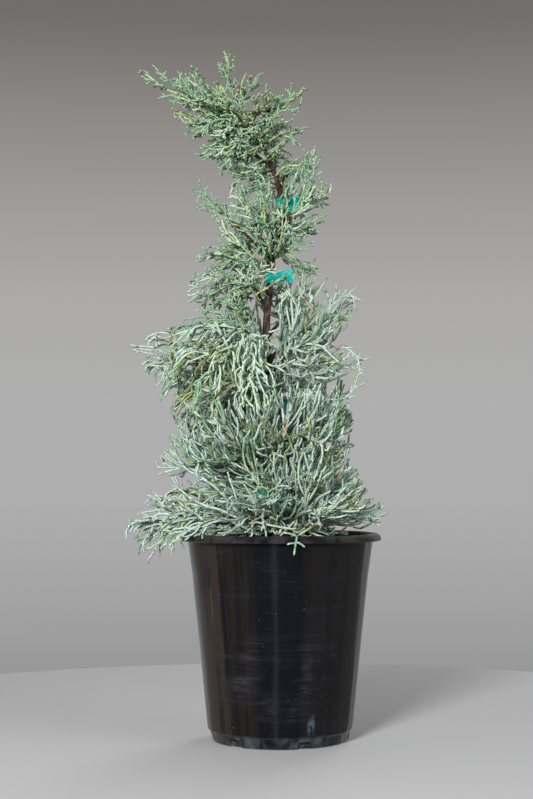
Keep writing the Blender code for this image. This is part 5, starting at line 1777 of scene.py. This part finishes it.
# Long wayward twigs: the mass each grows from and where it runs, in millimetres.
WAYWARD = (
    ("middle_right", ((45, -12, 402), (66, -16, 415), (80, -20, 416), (87.5, -20, 421))),
    ("middle_right", ((50, -10, 428), (70, -22, 434), (85, -26, 421), (87, -26, 402))),
    ("middle_right", ((40, -10, 388), (62, -24, 376), (79, -30, 386), (85, -28, 404))),
    ("middle_right", ((52, -4, 476), (66, -6, 489), (77, -6, 494), (82, -6, 489))),
    ("middle_left", ((-90, -10, 432), (-115, -20, 424), (-126, -26, 410), (-131, -28, 394))),
)
STEM_PLACES = 40
TWIG_POINTS = 8
DEAD_RADII = (0.0010, 0.0008, 0.0006)  # at its stem, where it leaves the foliage and at its tip
WAYWARD_RADII = (0.00115, 0.00085)
WAYWARD_CORD_RADIUS = 0.0009
WAYWARD_CORD_LENGTH = 0.016
WAYWARD_CORD_PLACES = (0.45, 0.97, 0.085)  # of the twig: from, to and how far apart
WAYWARD_CORD_POINTS = 6
WAYWARD_CORD_LEANS = (0.6, 0.9)
WAYWARD_CORD_LENGTHS = (0.6, 1.1)  # shares of their length
WAYWARD_CORD_PLANE = (0.0, 1.0, 0.25)  # the way that it faces
WAYWARD_POINTS = 16
SPRIG_POINTS = 9
SPRIG_RADII = (0.0013, 0.0011)
SPRIG_CORD_RADII = (0.00115, 0.00100)
# The sprig that hangs over the pot's rim: where it runs, and where its cords start and end.
SPRIG = ((0.0360, -0.0760, 0.2400), (0.0320, -0.1040, 0.2385), (0.0174, -0.1148, 0.2300))
SPRIG_CORDS = (
    ((0.0174, -0.1148, 0.2300), (0.0022, -0.1162, 0.2338)),
    ((0.0174, -0.1148, 0.2300), (0.0140, -0.1150, 0.2085)),
    ((0.0165, -0.1152, 0.2225), (0.0065, -0.1165, 0.2212)),
    ((0.0165, -0.1152, 0.2240), (0.0262, -0.1160, 0.2180)),
)


def from_stem(name, points, count):
    """A run through points that starts at the nearest place on a mass's stem."""
    mass = next(mass for mass in masses() if mass.name == name)
    stem = stem_line(mass, np.linspace(mass.start, mass.end, STEM_PLACES))
    nearest = stem[np.linalg.norm(stem - np.array(points[0]), axis=-1).argmin()]
    return smooth_run([nearest, *points], count)


def twig(bundle, line, radii, colour, tip=None):
    """Adds one twig along a line, as thick at its ends as the two radii."""
    tips = None if tip is None else np.array([tip])
    rings = np.linspace(*radii, len(line) - 1)
    bundle.tubes(line[None], rings[None], STEM_SIDES, np.array([colour]), tips)


def bent(start, end, aside):
    """A run from start to end, bent a little aside half way."""
    start, end = np.array(start), np.array(end)
    return smooth_run((start, (start + end) / 2 + aside, end), TWIG_POINTS)


def side_cords(line, draw):
    """Cords to alternate sides of one run, in the plane that it roughly bends in."""
    shares = np.arange(*WAYWARD_CORD_PLACES)
    base, ahead = along_lines(line[None], np.zeros(len(shares), int), shares)
    alternate = np.where(np.arange(len(shares)) % 2, 1.0, -1.0)[:, None]
    side = unit(np.cross(ahead, WAYWARD_CORD_PLANE)) * alternate
    way = unit(ahead + side * draw.uniform(*WAYWARD_CORD_LEANS, (len(shares), 1)))
    reach = (WAYWARD_CORD_LENGTH * draw.uniform(*WAYWARD_CORD_LENGTHS, len(shares)))[:, None, None]
    s = np.linspace(0.0, 1.0, WAYWARD_CORD_POINTS)[None, :, None]
    return base[:, None] + (way[:, None] * (s - s * s / 3) + ahead[:, None] * s * s / 3) * reach


def build_dead_twigs(settings):
    """Dead twigs, each on a hidden length of twig from its mass's stem."""
    dead, hidden = range(2)
    bundle = Bundle()
    for name, start, end in DEAD_TWIGS:
        twig(bundle, from_stem(name, (start,), TWIG_POINTS), DEAD_RADII[:2], hidden)
        twig(bundle, bent(start, end, (0.0010, 0.0, 0.0)), DEAD_RADII[::2], dead)
    finish = material("dead_bark", scaly, colour=DEAD_COLOUR, shade=toned(DEAD_COLOUR, 0.6), rough=0.8)
    made = bundle.piece("dead_twigs", [finish, foliage_materials(settings)[OLIVE]])
    settle(made, "dead_twigs", [], ["leader_foliage"])


def build_odd_twigs(settings):
    """Dead twigs, long wayward twigs, and the sprig that hangs over the rim."""
    build_dead_twigs(settings)
    wayward = Bundle()
    draw = np.random.default_rng(5)
    for name, points in WAYWARD:
        line = from_stem(name, np.array(points) * MILLIMETRE, WAYWARD_POINTS)
        twig(wayward, line, WAYWARD_RADII, BLUE, TIP)
        cords = side_cords(line, draw)
        radii = cord_radii(len(cords), cords.shape[1], WAYWARD_CORD_RADIUS, CORD_TAPER, draw)
        colours = np.full(len(cords), BLUE)
        wayward.tubes(cords, radii, CORDLET_SIDES, colours, np.full(len(cords), TIP))
    twig(wayward, smooth_run(SPRIG, SPRIG_POINTS), SPRIG_RADII, STRAW)
    for start, end in SPRIG_CORDS:
        twig(wayward, bent(start, end, (0.0, -0.0010, 0.0008)), SPRIG_CORD_RADII, GREEN, TIP)
    piece = wayward.piece("wayward_twigs", foliage_materials(settings))
    settle(piece, "wayward_twigs", [], ["leader_foliage"])


# Pieces of foliage: the tier, the part's name and the sectors in it.
FOLIAGE_PIECES = (
    ("crown", "all", (0, 1, 2, 3, 4, 5)),
    ("upper", "all", (0, 1, 2, 3, 4, 5)),
    ("middle", "front", (0, 1, 2)),
    ("middle", "back", (3, 4, 5)),
    ("lower", "front", (0, 1, 2)),
    ("lower", "back", (3, 4, 5)),
    ("skirt", "front", (0, 1, 2)),
    ("skirt", "back", (3, 4, 5)),
)
# The long arms that grow in a piece.
PIECE_ARMS = {
    ("crown", "all"): "crown_arm",
    ("upper", "all"): "upper_arm",
    ("middle", "front"): "cascade",
    ("skirt", "front"): "skirt_arm",
}


def build_foliage(settings):
    """Cords and cordlets on the shoots of every mass, in the colours of cypress foliage."""
    finishes = foliage_materials(settings)
    labels = [tier[0] for tier in TIERS]
    for label, part, sectors in FOLIAGE_PIECES:
        bundle = Bundle()
        grown = [Mass(labels.index(label), sector) for sector in sectors]
        replaced = [f"{mass.name}_foliage" for mass in grown]
        if label == "crown":
            grown.append(Leader())
            replaced.append("leader_foliage")
        for mass in grown:
            grow(mass, shoots_of(mass, settings.fullness), bundle)
        if (label, part) in PIECE_ARMS:
            arms = Arms(PIECE_ARMS[label, part])
            grow(arms, arms.lines, bundle)
        if label == "lower":
            half = round(THICKET * settings.fullness / 2)
            thicket = Thicket(0, half) if part == "front" else Thicket(half, 2 * half)
            grow(thicket, thicket.lines, bundle)
        name = f"{label}_{part}_cords"
        settle(bundle.piece(name, finishes), name, [], replaced)


# ---------------- the stage
# Shares of the way up from well below the horizon, and the backdrop's colour there: painted light, brightest
# about the horizon, and painted shade, darker towards the top and the bottom.
BACKDROP = (
    (0.128, (0.296, 0.296, 0.296)),
    (0.240, (0.366, 0.366, 0.366)),
    (0.367, (0.423, 0.423, 0.423)),
    (0.493, (0.429, 0.429, 0.429)),
    (0.620, (0.407, 0.402, 0.393)),
    (0.742, (0.335, 0.330, 0.318)),
    (0.860, (0.250, 0.235, 0.223)),
    (0.954, (0.168, 0.156, 0.147)),
)
# Shares of a turn round the horizon, from the back by the left and the front, and the studio's light there.
STUDIO = (
    (0.000, (0.344, 0.344, 0.344)),
    (0.100, (0.387, 0.396, 0.413)),
    (0.130, (0.292, 0.258, 0.232)),
    (0.232, (0.292, 0.249, 0.215)),
    (0.246, (0.172, 0.150, 0.138)),
    (0.380, (0.206, 0.176, 0.155)),
    (0.392, (0.086, 0.095, 0.138)),
    (0.462, (0.103, 0.116, 0.172)),
    (0.472, (0.172, 0.206, 0.310)),
    (0.479, (0.533, 0.671, 0.946)),
    (0.486, (0.172, 0.206, 0.310)),
    (0.496, (0.103, 0.116, 0.172)),
    (0.582, (0.086, 0.095, 0.138)),
    (0.594, (0.189, 0.176, 0.168)),
    (0.800, (0.206, 0.198, 0.189)),
    (0.870, (0.189, 0.189, 0.189)),
    (0.884, (0.688, 0.688, 0.705)),
    (0.900, (0.292, 0.292, 0.301)),
    (1.000, (0.344, 0.344, 0.344)),
)
CAMERA_PLACE = (0.0, -1.757, 0.295)
SENSOR = 36.0
# In pixels: the picture's size, the place in it straight before the camera, and the focal length.
PICTURE = (533, 799)
STRAIGHT_AHEAD = (280.3, 473.7)
FOCAL_LENGTH = 1577
CAMERA_LENS = SENSOR * FOCAL_LENGTH / PICTURE[1]
CAMERA_SHIFT = (
    (PICTURE[0] / 2 - STRAIGHT_AHEAD[0]) / PICTURE[1],
    (STRAIGHT_AHEAD[1] - PICTURE[1] / 2) / PICTURE[1],
)
# Each light's place, size, share of the main light's power and colour.
LIGHTS = {
    "key": ((-0.72, -2.2, 0.98), 0.60, 1.0, (1.0, 1.0, 1.0)),
    "fill": ((1.9, -1.2, 0.9), 1.4, 0.16, (0.95, 0.97, 1.0)),
    "back": ((0.8, 1.9, 1.3), 1.0, 0.22, (1.0, 1.0, 1.0)),
}
LIGHT_AIM = (0.0, 0.0, 0.36)
FLOOR_RADIUS = 0.70
FLOOR_THICKNESS = 0.01
BACKDROP_SPAN = (-0.2, 0.3)  # of the view's rise, from the first of its colours to the last


def colour_ramp(tree, value, stops, brightness=1.0):
    """A ramp through (place, colour) pairs."""
    made = node(tree, "ValToRGB", {0: value})
    elements = made.color_ramp.elements
    while len(elements) > 1:
        elements.remove(elements[-1])
    for place, colour in stops:
        stop = elements[0] if place == stops[0][0] else elements.new(place)
        stop.position, stop.color = place, (*(brightness * value for value in colour), 1.0)
    return made.outputs[0]


def world_shader(brightness):
    """A grey backdrop to the camera, with painted shade towards its top and bottom, and a studio to
    reflections.
    """
    world = bpy.data.worlds.new("studio")
    world.use_nodes = True
    tree = world.node_tree
    for old in list(tree.nodes):
        tree.nodes.remove(old)
    way = node(tree, "SeparateXYZ", {0: node(tree, "TexCoord").outputs["Generated"]}).outputs
    low, high = BACKDROP_SPAN
    rise = node(tree, "MapRange", {"Value": way[2], "From Min": low, "From Max": high}).outputs[0]
    angle = maths(tree, "ARCTAN2", way[0], times(tree, way[1], -1.0))
    turn = times_plus(tree, angle, 1 / TAU, 0.5)
    ramps = (colour_ramp(tree, turn, STUDIO), colour_ramp(tree, rise, BACKDROP, brightness))
    studio, backdrop = (node(tree, "Background", {"Color": ramp}).outputs[0] for ramp in ramps)
    seen = node(tree, "LightPath").outputs["Is Camera Ray"]
    shown = node(tree, "MixShader", {0: seen, 1: studio, 2: backdrop}).outputs[0]
    node(tree, "OutputWorld", {"Surface": shown})
    bpy.context.scene.world = world


def area_light(name, power):
    """A round light that reflections don't show."""
    place, size, share, colour = LIGHTS[name]
    data = bpy.data.lights.new(name, "AREA")
    data.shape, data.size, data.energy, data.color = "DISK", size, power * share, colour
    light = bpy.data.objects.new(name, data)
    light.location = place
    light.rotation_euler = (Vector(LIGHT_AIM) - Vector(place)).to_track_quat("-Z", "Y").to_euler()
    light.visible_glossy = False
    bpy.context.scene.collection.objects.link(light)
    return light


def make_floor(settings):
    """A round floor under the pot."""
    act_on()
    bpy.ops.mesh.primitive_circle_add(vertices=96, radius=FLOOR_RADIUS, fill_type="NGON", location=(0, 0, 0))
    floor = bpy.context.object
    edit_all(floor)
    bpy.ops.mesh.extrude_region_move(TRANSFORM_OT_translate={"value": (0, 0, -FLOOR_THICKNESS)})
    outward()
    floor.name = "floor"
    floor.visible_glossy = False
    floor.data.materials.append(material("floor_grey", plain, colour=tuple(settings.floor_colour), rough=0.7))
    return floor


def make_camera():
    """A level camera whose lens is shifted, so that upright lines stay upright."""
    data = bpy.data.cameras.new("camera")
    data.sensor_fit, data.sensor_width, data.lens = "AUTO", SENSOR, CAMERA_LENS
    data.shift_x, data.shift_y = CAMERA_SHIFT
    camera = bpy.data.objects.new("camera", data)
    camera.location, camera.rotation_euler = CAMERA_PLACE, (math.pi / 2, 0, 0)
    bpy.context.scene.collection.objects.link(camera)
    bpy.context.scene.camera = camera
    return camera


def build_stage(settings):
    """The floor, the camera, three lights and the backdrop."""
    floor, camera = make_floor(settings), make_camera()
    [area_light(name, settings.key_power) for name in LIGHTS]
    world_shader(settings.backdrop)
    bpy.context.scene.view_settings.view_transform = "Standard"


# ---------------- what a user can change
def colour_property(label, what, value):
    return bpy.props.FloatVectorProperty(
        name=label, description=what, default=value, size=3, min=0.0, max=1.0, subtype="COLOR"
    )


class PotSettings(bpy.types.PropertyGroup):
    """Colours of the pot, its potting mix and the ties."""

    pot_colour: colour_property("Pot", "Colour of the pot's plastic", (0.0032, 0.0032, 0.0042))
    # Dust, whose bluish colour on the pot's foot is also a painted highlight.
    dust_colour: colour_property("Dust", "Colour of the dust on its foot and lip", (0.072, 0.080, 0.096))
    soil_colour: colour_property("Mix", "Colour of the potting mix", (0.045, 0.028, 0.018))
    tape_colour: colour_property("Tape", "Colour of the plastic tape", (0.002, 0.33, 0.30))


class PlantSettings(bpy.types.PropertyGroup):
    """How full the foliage is, and the colours of plant and bark."""

    fullness: bpy.props.FloatProperty(
        name="Fullness",
        description="Shoots in each mass, as a share of the usual number",
        default=1.0,
        min=0.2,
        max=1.2,
        subtype="FACTOR",
    )
    bark_colour: colour_property("Bark", "Colour of the trunk's bark", (0.058, 0.037, 0.027))
    blue_colour: colour_property("Blue cords", "Colour of the blue foliage", (0.412, 0.525, 0.460))
    green_colour: colour_property("Green cords", "Colour of the greener foliage", (0.215, 0.345, 0.230))
    # Pale cords: a paler foliage tone, and also a painted highlight.
    pale_colour: colour_property("Pale cords", "Colour of the palest foliage", (0.425, 0.530, 0.385))
    straw_colour: colour_property("Straw cords", "Colour of the yellowest foliage", (0.39, 0.43, 0.18))
    young_colour: colour_property("Young bark", "Colour of the bark near the top", (0.17, 0.145, 0.055))
    # Olive cords are older cords. Near the trunk they also stand as painted shade in the foliage's depth.
    olive_colour: colour_property("Olive cords", "Colour of older cords near the trunk", (0.17, 0.21, 0.095))
    tip_colour: colour_property("Tips", "Colour of this year's growth", (0.39, 0.51, 0.27))


class StageSettings(bpy.types.PropertyGroup):
    """The studio round the plant."""

    key_power: bpy.props.FloatProperty(
        name="Key light", description="Power of the main light", default=105.0, min=0.0, unit="POWER"
    )
    backdrop: bpy.props.FloatProperty(
        name="Backdrop",
        description="Brightness of the backdrop",
        default=1.0,
        min=0.0,
        max=2.0,
        subtype="FACTOR",
    )
    floor_colour: colour_property("Floor", "Colour of the floor", (0.42, 0.42, 0.42))


# ---------------- operators
class PieceOperator:
    """What every operator here shares."""

    bl_options = {"REGISTER", "UNDO"}


class TOPIARY_OT_pot(PieceOperator, bpy.types.Operator):
    """Model the nursery pot"""

    bl_idname = "topiary.pot"
    bl_label = "Pot"

    def execute(self, context):
        build_pot(context.scene.topiary_pot)
        return {"FINISHED"}


class TOPIARY_OT_soil(PieceOperator, bpy.types.Operator):
    """Model the potting mix and the chips that lie on it"""

    bl_idname = "topiary.soil"
    bl_label = "Potting mix"

    def execute(self, context):
        build_soil(context.scene.topiary_pot)
        return {"FINISHED"}


class TOPIARY_OT_ties(PieceOperator, bpy.types.Operator):
    """Model the ties of plastic tape"""

    bl_idname = "topiary.ties"
    bl_label = "Ties"

    def execute(self, context):
        build_ties(context.scene.topiary_pot)
        return {"FINISHED"}


class TOPIARY_OT_bark(PieceOperator, bpy.types.Operator):
    """Model the trunk and its boughs with their bark"""

    bl_idname = "topiary.bark"
    bl_label = "Trunk and boughs"

    def execute(self, context):
        build_bark(context.scene.topiary_plant)
        return {"FINISHED"}


class TOPIARY_OT_twigs(PieceOperator, bpy.types.Operator):
    """Grow the stems that carry the foliage"""

    bl_idname = "topiary.twigs"
    bl_label = "Stems"

    def execute(self, context):
        build_twigs()
        return {"FINISHED"}


class TOPIARY_OT_odd_twigs(PieceOperator, bpy.types.Operator):
    """Grow the dead twigs, the wayward ones and the sprig over the rim"""

    bl_idname = "topiary.odd_twigs"
    bl_label = "Odd twigs"

    def execute(self, context):
        build_odd_twigs(context.scene.topiary_plant)
        return {"FINISHED"}


class TOPIARY_OT_foliage(PieceOperator, bpy.types.Operator):
    """Grow the cords and cordlets of every mass of foliage"""

    bl_idname = "topiary.foliage"
    bl_label = "Foliage"

    def execute(self, context):
        build_foliage(context.scene.topiary_plant)
        return {"FINISHED"}


class TOPIARY_OT_stage(PieceOperator, bpy.types.Operator):
    """Set up the floor, the lights, the backdrop and the camera"""

    bl_idname = "topiary.stage"
    bl_label = "Stage"

    def execute(self, context):
        build_stage(context.scene.topiary_stage)
        return {"FINISHED"}


OPERATORS = (
    TOPIARY_OT_pot,
    TOPIARY_OT_soil,
    TOPIARY_OT_ties,
    TOPIARY_OT_bark,
    TOPIARY_OT_twigs,
    TOPIARY_OT_foliage,
    TOPIARY_OT_odd_twigs,
    TOPIARY_OT_stage,
)
SETTINGS = {
    "topiary_pot": PotSettings,
    "topiary_plant": PlantSettings,
    "topiary_stage": StageSettings,
}


class TOPIARY_PT_panel(bpy.types.Panel):
    """Lists the settings, and the operators in their order"""

    bl_idname = "TOPIARY_PT_panel"
    bl_label = "Spiral topiary"
    bl_space_type = "VIEW_3D"
    bl_region_type = "UI"
    bl_category = "Topiary"

    def draw(self, context):
        for name, kind in SETTINGS.items():
            for label in kind.__annotations__:
                self.layout.prop(getattr(context.scene, name), label)
        for operator in OPERATORS:
            self.layout.operator(operator.bl_idname)


CLASSES = (*SETTINGS.values(), *OPERATORS, TOPIARY_PT_panel)


def register():
    for made in CLASSES:
        bpy.utils.register_class(made)
    for name, kind in SETTINGS.items():
        setattr(bpy.types.Scene, name, bpy.props.PointerProperty(type=kind))


def unregister():
    for name in SETTINGS:
        delattr(bpy.types.Scene, name)
    for made in reversed(CLASSES):
        bpy.utils.unregister_class(made)


def main():
    register()
    for operator in OPERATORS:
        area, name = operator.bl_idname.split(".")
        getattr(getattr(bpy.ops, area), name)()


if __name__ == "__main__":
    main()
